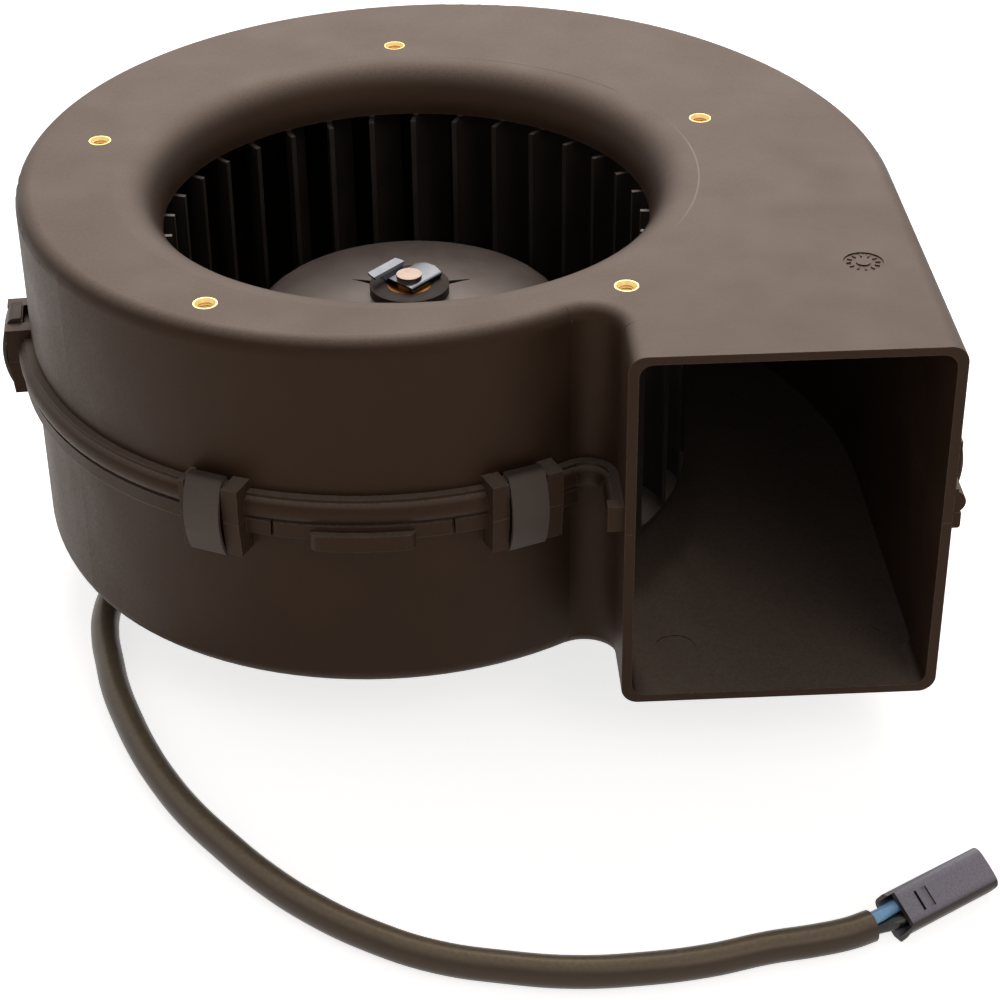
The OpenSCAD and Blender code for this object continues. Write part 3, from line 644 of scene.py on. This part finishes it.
@dataclass
class Studio:
    """A white room with a broad lamp behind and above, a faint side lamp and a front fill."""

    room: float = 0.3
    floor_size: float = 6.0
    floor_glow: float = 0.75
    aim: Point = (0.02, 0.0, 0.09)
    lamps: tuple[Lamp, ...] = (
        Lamp("key_lamp", (0.12, 0.95, 1.15), 1.1, 16.0, "#fff6ee"),
        Lamp("side_lamp", (-1.3, -0.1, 0.7), 0.7, 0.4, "#ffdfc0"),
        Lamp("front_fill", (0.75, -1.2, 1.25), 0.8, 3.6, "#fff2e6"),
    )

    def build(self) -> None:
        """Makes the world, the lamps and the floor."""
        bpy.context.scene.view_settings.view_transform = "Standard"
        self._world()
        for lamp in self.lamps:
            self._hang(lamp)
        self._floor()

    def _world(self) -> None:
        """White to the camera and in reflections, and a plain grey light on the object."""
        world = bpy.data.worlds.new("studio")
        bpy.context.scene.world = world
        world.use_nodes = True
        tree = world.node_tree
        tree.nodes.clear()
        strength = spread_out(tree, self._seen(tree), (0.0, 1.0), (self.room, 1.0))
        glow = add_node(tree, "Background", {"Color": WHITE}, {"Strength": strength})
        add_node(tree, "OutputWorld", links={"Surface": glow.outputs[0]})

    @staticmethod
    def _seen(tree: Tree) -> Socket:
        """Gives 1 on rays that look at the background, straight, in gloss or through glass.

        Args:
            tree: The world's or floor's node tree.

        Returns:
            The factor's socket.
        """
        path = add_node(tree, "LightPath").outputs
        both = maths(tree, "MAXIMUM", path["Is Camera Ray"], path["Is Glossy Ray"])
        return maths(tree, "MAXIMUM", both, path["Is Transmission Ray"])

    def _hang(self, lamp: Lamp) -> None:
        """Hangs one lamp and turns it to the wheel.

        Args:
            lamp: The lamp.
        """
        data = bpy.data.lights.new(lamp.name, "AREA")
        data.size = lamp.size
        data.energy = lamp.power
        data.color = srgb(lamp.colour)[:3]
        hung = bpy.data.objects.new(lamp.name, data)
        bpy.context.collection.objects.link(hung)
        look = (Vector(self.aim) - Vector(lamp.spot)).to_track_quat("-Z", "Y")
        hung.matrix_world = Matrix.Translation(lamp.spot) @ look.to_matrix().to_4x4()

    def _floor(self) -> None:
        """A pale sheet under everything, lit in its own white where the camera looks at it."""
        body = bmesh.new()
        bmesh.ops.create_grid(body, x_segments=1, y_segments=1, size=self.floor_size / 2)
        floor = place_piece("floor", body)
        paper = bpy.data.materials.new("backdrop_paper")
        paper.use_nodes = True
        tree = paper.node_tree
        shader = tree.nodes["Principled BSDF"]
        shader.inputs["Base Color"].default_value = srgb("#f4f2ef")
        shader.inputs["Roughness"].default_value = 0.9
        shader.inputs["Emission Color"].default_value = WHITE
        glow = maths(tree, "MULTIPLY", self._seen(tree), self.floor_glow)
        tree.links.new(glow, shader.inputs["Emission Strength"])
        floor.data.materials.append(paper)


# ---------------------------------------------------------------- making and placing pieces


def place_piece(name: str, body: Body) -> bpy.types.Object:
    """Turns a finished bmesh into an object at the origin, smooth but for its sharp edges.

    Args:
        name: The piece's name.
        body: The mesh in the shared frame, in metres. It is freed here.

    Returns:
        The new object.
    """
    mesh = bpy.data.meshes.new(name)
    for face in body.faces:
        face.smooth = True
    for edge in body.edges:
        edge.smooth = edge.calc_face_angle(0) < SHARP
    body.to_mesh(mesh)
    body.free()
    made = bpy.data.objects.new(name, mesh)
    bpy.context.collection.objects.link(made)
    return made


def dress(finish: Finish, *names: str) -> None:
    """Gives CAD nodes their finish.

    Args:
        finish: The finish that they take.
        names: The nodes' names.
    """
    for name in names:
        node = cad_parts[name]
        node.data.materials.clear()
        node.data.materials.append(finish.material())
        LOG.info("dressed %s in %s", name, finish.name)


def attach(piece: bpy.types.Object, body: str, finish: Finish, swaps: str = "") -> None:
    """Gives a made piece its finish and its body.

    Args:
        piece: The object.
        body: The moving or standing body that carries it.
        finish: The finish that it takes.
        swaps: The CAD node that it stands in for, where it does.
    """
    piece.data.materials.append(finish.material())
    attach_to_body(piece, body)
    if swaps:
        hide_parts(swaps)
    LOG.info("made %s in %s", piece.name, finish.name)


def spun(body: Body, profile: Sequence[Pair], steps: int, centre: Pair = (0.0, 0.0)) -> None:
    """Turns a closed profile round an upright axis and adds it to the mesh.

    Args:
        body: The mesh that takes it.
        profile: Radius and height of each corner, in millimetres.
        steps: How many steps the turn has.
        centre: Where the axis stands, in millimetres.
    """
    spots = [Vector((centre[0] + radius, centre[1], height)) for radius, height in profile]
    corners = [body.verts.new(spot * MM) for spot in spots]
    edges = [body.edges.new(pair) for pair in zip(corners, corners[1:] + corners[:1])]
    bmesh.ops.spin(
        body,
        geom=corners + edges,
        cent=Vector((*centre, 0)) * MM,
        axis=(0, 0, 1),
        angle=math.tau,
        steps=steps,
        use_merge=True,
    )
    bmesh.ops.recalc_face_normals(body, faces=body.faces)


class Bend(NamedTuple):
    """One bend of a sheet: its place across and height, and where the sheet begins and ends."""

    across: float
    lift: float
    near: float
    far: float


def bent_sheet(body: Body, bends: Sequence[Bend], base: float, thick: float, turned: float) -> None:
    """Adds a bent sheet whose section is drawn across it and whose two ends may be cut to shape.

    Args:
        body: The mesh that takes it.
        bends: Its bends in order, in millimetres.
        base: The height that the bends' heights are measured from.
        thick: The sheet's thickness.
        turned: The angle of its length from +X, in degrees.
    """
    turn = Matrix.Rotation(math.radians(turned), 3, "Z")
    section = [(bend.across, base + bend.lift) for bend in bends]
    last = len(section) - 1
    normals = []
    for i in range(len(section)):
        before, after = section[max(i - 1, 0)], section[min(i + 1, last)]
        run = Vector((after[0] - before[0], after[1] - before[1])).normalized()
        normals.append(Vector((run.y, -run.x)))
    rows = []
    for ends in ([bend.near for bend in bends], [bend.far for bend in bends]):
        for side in (0.5, -0.5):
            row = []
            for (across, height), n, end in zip(section, normals, ends):
                spot = (end, across + side * thick * n.x, height + side * thick * n.y)
                row.append(body.verts.new(turn @ Vector(spot) * MM))
            rows.append(row)
    top_near, under_near, top_far, under_far = rows
    for i in range(last):
        body.faces.new((top_near[i], top_near[i + 1], top_far[i + 1], top_far[i]))
        body.faces.new((under_near[i + 1], under_near[i], under_far[i], under_far[i + 1]))
        body.faces.new((top_near[i + 1], top_near[i], under_near[i], under_near[i + 1]))
        body.faces.new((top_far[i], top_far[i + 1], under_far[i + 1], under_far[i]))
    for i in (0, -1):
        body.faces.new((top_near[i], top_far[i], under_far[i], under_near[i]))
    bmesh.ops.recalc_face_normals(body, faces=body.faces)


def from_cells(
    body: Body,
    cuts: tuple[Sequence[float], Sequence[float], Sequence[float]],
    filled: Callable[[float, float, float], bool],
    shaped: Callable[[float, float, float], Vector],
) -> None:
    """Adds the skin of a block that is cut into cells, some of which are left out.

    Args:
        body: The mesh that takes it.
        cuts: Where the cuts are along each axis, in rising order.
        filled: Tells whether there is material at a place.
        shaped: Moves a corner of the block to its place in the scene.
    """
    counts = [len(c) - 1 for c in cuts]

    def solid(cell: tuple[int, ...]) -> bool:
        """Tells whether a cell is inside the block and has material."""
        if any(i < 0 or i >= n for i, n in zip(cell, counts)):
            return False
        return filled(*((c[i] + c[i + 1]) / 2 for c, i in zip(cuts, cell)))

    corners: dict[tuple[int, ...], bmesh.types.BMVert] = {}

    def corner(spot: tuple[int, ...]) -> bmesh.types.BMVert:
        """Gives the one vertex of a corner of the grid."""
        if spot not in corners:
            corners[spot] = body.verts.new(shaped(*(c[i] for c, i in zip(cuts, spot))))
        return corners[spot]

    for cell in itertools.product(*(range(n) for n in counts)):
        if not solid(cell):
            continue
        for axis in range(3):
            for side in (0, 1):
                beyond = list(cell)
                beyond[axis] += 2 * side - 1
                if solid(tuple(beyond)):
                    continue
                spots = []
                for first, second in ((0, 0), (1, 0), (1, 1), (0, 1)):
                    spot = list(cell)
                    spot[axis] += side
                    spot[(axis + 1) % 3] += first
                    spot[(axis + 2) % 3] += second
                    spots.append(corner(tuple(spot)))
                body.faces.new(spots if side else spots[::-1])


# ---------------------------------------------------------------- the lead


@dataclass
class Connector:
    """The lead's connector, with a cut-back mouth, flared lips, a latch and two pin holes.

    Its own X runs from its mouth to its tip, Y across it and Z out of the latch's side.
    The turn round the upright axis and the roll round its own length are in degrees.
    The slot and window are where these begin and end along X, and nothing of it lies
    below the lowest height.
    """

    base: Point = (125.008, -194.550, 5.703)
    turn: float = 31.3
    roll: float = 32.0
    length: float = 32.0
    width: float = 12.5
    height: float = 7.6
    rounding: float = 2.2
    round_cuts: tuple[float, ...] = (5.5, 5.9, 6.13)
    lip: float = -1.8
    lip_flare: float = 1.12
    plate: float = 0.7
    mouth_end: float = 6.6
    mouth_half: float = 2.1
    side_wall: float = 1.2
    latch_half: float = 2.9
    slot: Pair = (6.0, 6.9)
    slot_floor: float = 2.7
    window: Pair = (8.6, 10.4)
    window_floor: float = 3.25
    pin_start: float = 17.6
    pin_aside: float = 3.0
    pin_half: float = 1.7
    tip_sweep: float = 0.6
    tip_flat: float = 0.4
    edge: float = 0.12
    lowest: float = 0.1

    def build(self) -> None:
        """Makes the connector's body."""
        body = bmesh.new()
        from_cells(body, self._cuts(), self._filled, self._shaped)
        bmesh.ops.bevel(
            body,
            geom=[e for e in body.edges if e.calc_face_angle(0) > SHARP],
            offset=self.edge * MM,
            offset_type="OFFSET",
            affect="EDGES",
            segments=2,
            profile=0.5,
            material=-1,
            clamp_overlap=True,
        )
        piece = place_piece("lead_connector_body", body)
        attach(piece, "housing", CONNECTOR_POLYESTER, "connector_housing")

    def laid(self, x: float, y: float, z: float) -> Vector:
        """Turns and rolls a direction as the connector lies.

        Args:
            x: How far it goes along the connector.
            y: How far across it.
            z: How far out of the latch's side.

        Returns:
            The same direction in the shared frame.
        """
        turn = Matrix.Rotation(math.radians(self.turn), 3, "Z")
        return turn @ Matrix.Rotation(math.radians(self.roll), 3, "X") @ Vector((x, y, z))

    def _cuts(self) -> tuple[list[float], list[float], list[float]]:
        """Gives the cuts along each axis, wherever something begins or ends."""
        half_w, half_h = self.width / 2, self.height / 2
        aside = [
            self.pin_aside - self.pin_half,
            self.latch_half,
            half_w - self.rounding,
            self.pin_aside + self.pin_half,
            half_w - self.side_wall,
            *self.round_cuts,
            half_w,
        ]
        xs = [
            self.lip, self.plate, self.slot[0], self.mouth_end, self.slot[1], *self.window,
            self.pin_start, self.length,
        ]  # fmt: skip
        zs = [
            -half_h, -self.mouth_half, -self.pin_half, self.pin_half, self.mouth_half,
            self.slot_floor, self.window_floor, half_h,
        ]  # fmt: skip
        return xs, [-y for y in reversed(aside)] + aside, zs

    def _filled(self, x: float, y: float, z: float) -> bool:
        """Tells whether the body has material at a place."""
        aside = abs(y)
        if aside < self.width / 2 - self.side_wall:
            if x < self.mouth_end and abs(z) < self.mouth_half:
                return False
            if x < self.plate and z > 0:
                return False
        if aside < self.latch_half:
            if self.slot[0] < x < self.slot[1] and z > self.slot_floor:
                return False
            if self.window[0] < x < self.window[1] and z > self.window_floor:
                return False
        in_pin = abs(aside - self.pin_aside) < self.pin_half and abs(z) < self.pin_half
        return not (x > self.pin_start and in_pin)

    def _shaped(self, x: float, y: float, z: float) -> Vector:
        """Rounds the section's corners, flares the near lip and lays the body in place."""
        half_w, half_h, rounding = self.width / 2, self.height / 2, self.rounding
        past = max(0.0, abs(y) - (half_w - rounding))
        tall = half_h - rounding + math.sqrt(max(0.0, rounding**2 - past**2))
        if y < 0 and x < self.plate:
            y *= self.lip_flare
        if x == self.length:
            x -= self.tip_sweep * max(0.0, abs(y) / half_w - self.tip_flat)
        spot = Vector(self.base) + self.laid(x, y, z * tall / half_h)
        spot.z = max(spot.z, self.lowest)
        return spot * MM


@dataclass
class Lead:
    """The lead: a sleeve from the gland, laid round in front, and a connector on two wires."""

    diameter: float = 9.0
    sleeve_route: tuple[Point, ...] = (
        (-56, 0, 11), (-66, 0, 11), (-76, -2, 10), (-86, -7, 8.6), (-94, -15, 7),
        (-99, -25, 5.6), (-101, -36, 4.7), (-100.5, -49, 4.5), (-98, -63, 4.5),
        (-95, -77, 4.5), (-90, -93, 4.5), (-84, -109, 4.5), (-77, -124, 4.5),
        (-69, -138, 4.5), (-59, -152, 4.5), (-47, -167, 4.5), (-33, -181, 4.5),
        (-17, -193, 4.5), (0, -202, 4.5), (18, -207, 4.5), (36, -210, 4.5),
        (54, -210, 4.5), (72, -208, 4.5), (89, -204, 4.5), (102, -202, 4.5),
        (111.5, -199.8, 4.5), (117.6, -197.4, 4.6),
    )  # fmt: skip
    wire_diameter: float = 3.8
    # How far the wires stand off the sleeve's middle, together and each to its own side.
    wire_shift: float = 0.4
    wire_aside: Pair = (1.0, 1.6)
    # How far inside the sleeve they begin, and how far past its end they begin to bend.
    wire_hidden: float = 1.5
    wire_straight: float = 0.8
    # How far they are from the middle in the connector's mouth and at their seat in it.
    mouth_aside: float = 2.1
    seat_aside: float = 2.2
    seat_depth: float = 6.2
    connector: Connector = field(default_factory=Connector)

    def build(self) -> None:
        """Makes the sleeve, the wires and the connector, and dresses what is on them."""
        sleeve = self._tube("lead_sleeve", self.sleeve_route, self.diameter)
        attach(sleeve, "housing", EXTRUDED_SLEEVE, "cable")
        for name, side, finish in (
            ("wire_blue", 1, BLUE_INSULATION),
            ("wire_black", -1, BLACK_INSULATION),
        ):
            wire = self._tube(f"insulated_{name}", self._wire_route(side), self.wire_diameter)
            attach(wire, "housing", finish, name)
        self.connector.build()
        steps = zip(self.sleeve_route, self.sleeve_route[1:])
        length = sum((Vector(b) - Vector(a)).length for a, b in steps)
        LOG.info("lead of %.0f mm", length)
        dress(RUBBER, "cable_gland")
        dress(TURNED_BRASS, "connector_terminal_1", "connector_terminal_2")

    @staticmethod
    def _tube(name: str, route: Sequence[Point], diameter: float) -> bpy.types.Object:
        """Draws a round tube along a smooth route.

        Args:
            name: The piece's name.
            route: The points that it passes, in millimetres.
            diameter: Its diameter in millimetres.

        Returns:
            The tube as a curve object.
        """
        data = bpy.data.curves.new(name, "CURVE")
        data.dimensions = "3D"
        data.bevel_depth = diameter / 2 * MM
        data.bevel_resolution = 6
        data.resolution_u = 6
        data.use_fill_caps = True
        spline = data.splines.new("BEZIER")
        spline.bezier_points.add(len(route) - 1)
        for point, spot in zip(spline.bezier_points, route):
            point.co = Vector(spot) * MM
            point.handle_left_type = point.handle_right_type = "AUTO"
        tube = bpy.data.objects.new(name, data)
        bpy.context.collection.objects.link(tube)
        return tube

    def _wire_route(self, side: int) -> list[Point]:
        """Gives the route of one wire, out of the sleeve and into the connector's mouth.

        Args:
            side: One for the upper wire and minus one for the lower.

        Returns:
            The points of its route.
        """
        plug, base = self.connector, Vector(self.connector.base)
        before, end = (Vector(p) for p in self.sleeve_route[-2:])
        along = (end - before).normalized()
        across, above = self.wire_aside
        aside = plug.laid(0, self.wire_shift + side * across, side * above)
        inside = end - along * self.wire_hidden + aside
        outside = end + along * self.wire_straight + aside
        mouth = base + plug.laid(0, side * self.mouth_aside, 0)
        seat = base + plug.laid(self.seat_depth, side * self.seat_aside, 0)
        return [tuple(p) for p in (inside, outside, mouth, seat)]


# ---------------------------------------------------------------- housing, wheel and motor


@dataclass
class ScrollHousing:
    """The two halves of the scroll, the inserts round the inlet and the straps round the joint.

    The first insert's place is in degrees. The mouth is how wide and deep the inserts
    are countersunk, the thread's share is its depth as a part of its pitch, and the core
    is what is left round the middle of an insert, where the turned section closes.
    """

    clips: int = 7
    inserts: int = 5
    insert_circle: float = 200.0
    first_insert: float = 91.0
    insert_width: float = 7.2
    insert_length: float = 9.0
    insert_steps: int = 40
    bore: float = 4.2
    bore_depth: float = 3.4
    pitch: float = 0.8
    thread_share: float = 0.6
    mouth: Pair = (0.95, 0.5)
    edge: float = 0.1
    core: float = 0.2
    top: float = 140.0

    def build(self) -> None:
        """Dresses the halves and the straps, and makes the inserts with their threads."""
        dress(HOUSING_NYLON, "upper_housing", "lower_housing")
        dress(PHOSPHATED_STEEL, *(f"clip_{number}" for number in range(1, self.clips + 1)))
        self._inserts()

    def _inserts(self) -> None:
        """Makes each insert with a countersunk mouth and a ringed thread."""
        body = bmesh.new()
        radius = self.insert_circle / 2
        profile = self._insert_profile()
        for number in range(self.inserts):
            angle = math.radians(self.first_insert + number * 360 / self.inserts)
            centre = (radius * math.cos(angle), radius * math.sin(angle))
            spun(body, profile, self.insert_steps, centre)
        piece = place_piece("threaded_inserts", body)
        attach(piece, "housing", TURNED_BRASS, "inlet_inserts")

    def _insert_profile(self) -> list[Pair]:
        """Gives an insert's section, up its outside and down its thread."""
        wall, hole = self.insert_width / 2, self.bore / 2
        root = hole + self.pitch * self.thread_share
        foot, floor = self.top - self.insert_length, self.top - self.bore_depth
        height = self.top - self.mouth[1]
        profile = [
            (self.core, floor),
            (self.core, foot),
            (wall, foot),
            (wall, self.top - self.edge),
            (wall - self.edge, self.top),
            (hole + self.mouth[0], self.top),
            (root, height),
        ]
        while height - self.pitch > floor + self.edge:
            profile.append((hole, height - self.pitch / 2))
            height -= self.pitch
            profile.append((root, height))
        profile.append((hole, floor + self.edge))
        return profile


@dataclass
class Wheel:
    """The bladed wheel with its hub, bush and spring clip.

    The places of the slits, the turn of the clip and the end of the crown's edge are in
    degrees. The seam is what keeps a made piece clear of the CAD solid under it.
    """

    hub_top: float = 101.0
    bush_r: float = 7.0
    ring_r: float = 12.5
    seam: float = 0.05
    rim_lift: float = 0.15
    rim_depth: float = 1.0
    rim_bevel: Pair = (0.3, 0.05)
    rim_bed: float = 0.02
    rim_steps: int = 96
    groove: Pair = (8.3, 10.8)
    crown_r: float = 45.48
    crown_top: float = 98.2
    crown_foot: float = 93.05
    crown_radii: tuple[float, ...] = (22.6, 24.5, 27.0, 30.0, 33.0, 36.0, 39.0, 42.0, 44.0)
    crown_step: int = 6
    edge_r: float = 6.1
    edge_end: float = 88.0
    edge_steps: int = 8
    edge_tuck: Pair = (0.4, 0.1)
    under_r: float = 43.5
    under: float = 92.5
    slits: Pair = (24.0, 148.5)
    slit_length: float = 9.0
    slit_width: float = 2.6
    slit_depth: float = 3.5
    slit_steps: int = 10
    slit_point: float = 0.03
    slit_columns: tuple[float, ...] = (-1.0, -0.8, 0.8, 1.0)
    slit_clear: float = 7.0
    clip_turn: float = 47.5
    clip_thick: float = 0.6
    clip_plate: tuple[Bend, ...] = (
        Bend(-5.0, 0.1, -4.2, 8.8),
        Bend(-5.15, 0.75, -4.5, 9.3),
        Bend(-4.95, 1.25, -4.6, 9.6),
        Bend(-4.5, 1.55, -4.7, 9.8),
        Bend(-3.9, 1.65, -4.8, 10.0),
        Bend(-1.0, 1.75, -4.9, 11.2),
        Bend(2.4, 1.8, -4.6, 11.0),
        Bend(4.7, 1.65, -4.2, 9.4),
        Bend(5.4, 1.1, -4.0, 7.4),
        Bend(5.9, 0.45, -4.0, 6.2),
        Bend(6.5, 0.4, -4.0, 5.4),
        Bend(6.9, 1.2, -4.6, 4.6),
        Bend(7.1, 2.3, -6.4, 4.6),
    )
    clip_tab: tuple[Bend, ...] = (
        Bend(7.0, 2.2, -8.0, 5.0),
        Bend(7.4, 2.85, -8.4, 6.0),
        Bend(8.8, 3.2, -8.4, 5.6),
        Bend(10.2, 3.5, -8.0, 4.8),
    )

    def build(self) -> None:
        """Dresses the wheel's pieces, and makes the hub's rim and crown and the spring clip."""
        dress(WHEEL_NYLON, "impeller_hub", "impeller_blades", "impeller_rim")
        dress(SINTERED_BRONZE, "hub_bush")
        dress(GROUND_STEEL, "motor_shaft")
        self._rim()
        self._crown()
        self._clip()

    def _rim(self) -> None:
        """Makes the flat dark rim that closes the coring groove in the hub ring."""
        body = bmesh.new()
        low, bed = self.hub_top - self.rim_depth, self.hub_top + self.rim_bed
        high = self.hub_top + self.rim_lift
        inner, outer = self.bush_r + 2 * self.seam, self.ring_r + self.seam
        (groove_in, groove_out), (flat, drop) = self.groove, self.rim_bevel
        profile = [
            (groove_in, low), (groove_out, low), (groove_out, bed), (outer, bed),
            (outer, high - drop), (outer - flat, high), (inner + flat, high),
            (inner, high - drop), (inner, bed), (groove_in, bed),
        ]  # fmt: skip
        spun(body, profile, self.rim_steps)
        attach(place_piece("hub_rim", body), "rotor", DARK_RIM_NYLON)

    def _crown(self) -> None:
        """Makes the domed crown of the hub, with a pointed slit on each side of the ring."""
        body = bmesh.new()
        columns = self._crown_columns()
        grid = []
        for radius, height in self._crown_profile():
            tip = max(0.0, 1 - (radius - self._crown_inside()) / self.slit_length)
            half = math.degrees((self.slit_width / 2 * tip + self.slit_point) / radius)
            ring = []
            for angle, side in columns:
                in_slit = 0 < abs(side) < 1 and height > self.under
                sunk = self.slit_depth * tip if in_slit else 0.0
                turn = math.radians(angle + side * half)
                spot = Vector((radius * math.cos(turn), radius * math.sin(turn), height - sunk))
                ring.append(body.verts.new(spot * MM))
            grid.append(ring)
        count = len(columns)
        for row, after in zip(grid, grid[1:] + grid[:1]):
            for i in range(count):
                j = (i + 1) % count
                body.faces.new((row[i], after[i], after[j], row[j]))
        bmesh.ops.recalc_face_normals(body, faces=body.faces)
        attach(place_piece("hub_crown", body), "rotor", WHEEL_NYLON)

    def _crown_inside(self) -> float:
        """Gives the radius of the crown's inner wall, against the hub ring."""
        return self.ring_r + self.seam

    def _crown_profile(self) -> list[Pair]:
        """Gives the crown's section: out over the dome, round its edge and back underneath."""
        rise, inside = self.crown_top - self.crown_foot, self._crown_inside()
        span = self.crown_r**2 - inside**2
        slope = math.atan(2 * self.crown_r * rise / span)
        centre = (
            self.crown_r - self.edge_r * math.sin(slope),
            self.crown_foot - self.edge_r * math.cos(slope),
        )
        steps = range(self.slit_steps + 1)
        radii = [inside + self.slit_length * step / self.slit_steps for step in steps]
        radii += self.crown_radii
        profile = [(r, self.crown_top - rise * (r**2 - inside**2) / span) for r in radii]
        for step in range(self.edge_steps + 1):
            angle = slope + (math.radians(self.edge_end) - slope) * step / self.edge_steps
            out, up = self.edge_r * math.sin(angle), self.edge_r * math.cos(angle)
            profile.append((centre[0] + out, centre[1] + up))
        inward, down = self.edge_tuck
        profile.append((centre[0] + self.edge_r - inward, centre[1] - down))
        return profile + [(self.under_r, self.under), (inside, self.under)]

    def _crown_columns(self) -> list[Pair]:
        """Gives the crown's columns in order: an angle, and the side of a slit on that angle."""
        columns = [
            (angle, 0.0)
            for angle in range(0, 360, self.crown_step)
            if all(abs(angle - slit) > self.slit_clear for slit in self.slits)
        ]
        columns += [(slit, side) for slit in self.slits for side in self.slit_columns]
        return sorted(columns, key=lambda column: column[0] + column[1])

    def _clip(self) -> None:
        """Makes the clip: a plate rolled down along one edge, with a raised tab along the other."""
        body = bmesh.new()
        base = self.hub_top + self.rim_lift
        for bends in (self.clip_plate, self.clip_tab):
            bent_sheet(body, bends, base, self.clip_thick, self.clip_turn)
        attach(place_piece("spring_clip", body), "rotor", ZINC_PLATE, "hub_clip")


@dataclass
class Motor:
    """The motor in the wheel's hub and what is in it."""

    def build(self) -> None:
        """Dresses the motor's pieces."""
        dress(PASSIVATED_CAN, "motor_can")
        dress(CAP_NYLON, "motor_front_cap", "motor_rear_cap")
        dress(PASSIVATED_CAN, "motor_flange")
        dress(RUBBER, "flange_gasket")
        dress(ZINC_PLATE, "flange_screws")
        dress(SINTERED_BRONZE, "front_bush", "rear_bush")
        dress(FERRITE, "magnet_1", "magnet_2")
        dress(LAMINATION, "armature_core")
        dress(ENAMELLED_COPPER, "armature_windings")
        dress(TURNED_BRASS, "commutator")
        dress(PHENOLIC, "brush_holder")
        dress(PRESSED_CARBON, "brush_1", "brush_2")
        dress(ZINC_PLATE, "brush_spring_1", "brush_spring_2")


def main() -> None:
    """Builds the camera, the lead, the light and each assembly in order."""
    logging.basicConfig(level=logging.INFO, format="%(name)s: %(message)s")
    Viewpoint().build()
    Lead().build()
    Studio().build()
    ScrollHousing().build()
    Wheel().build()
    Motor().build()


if __name__ == "__main__":
    main()
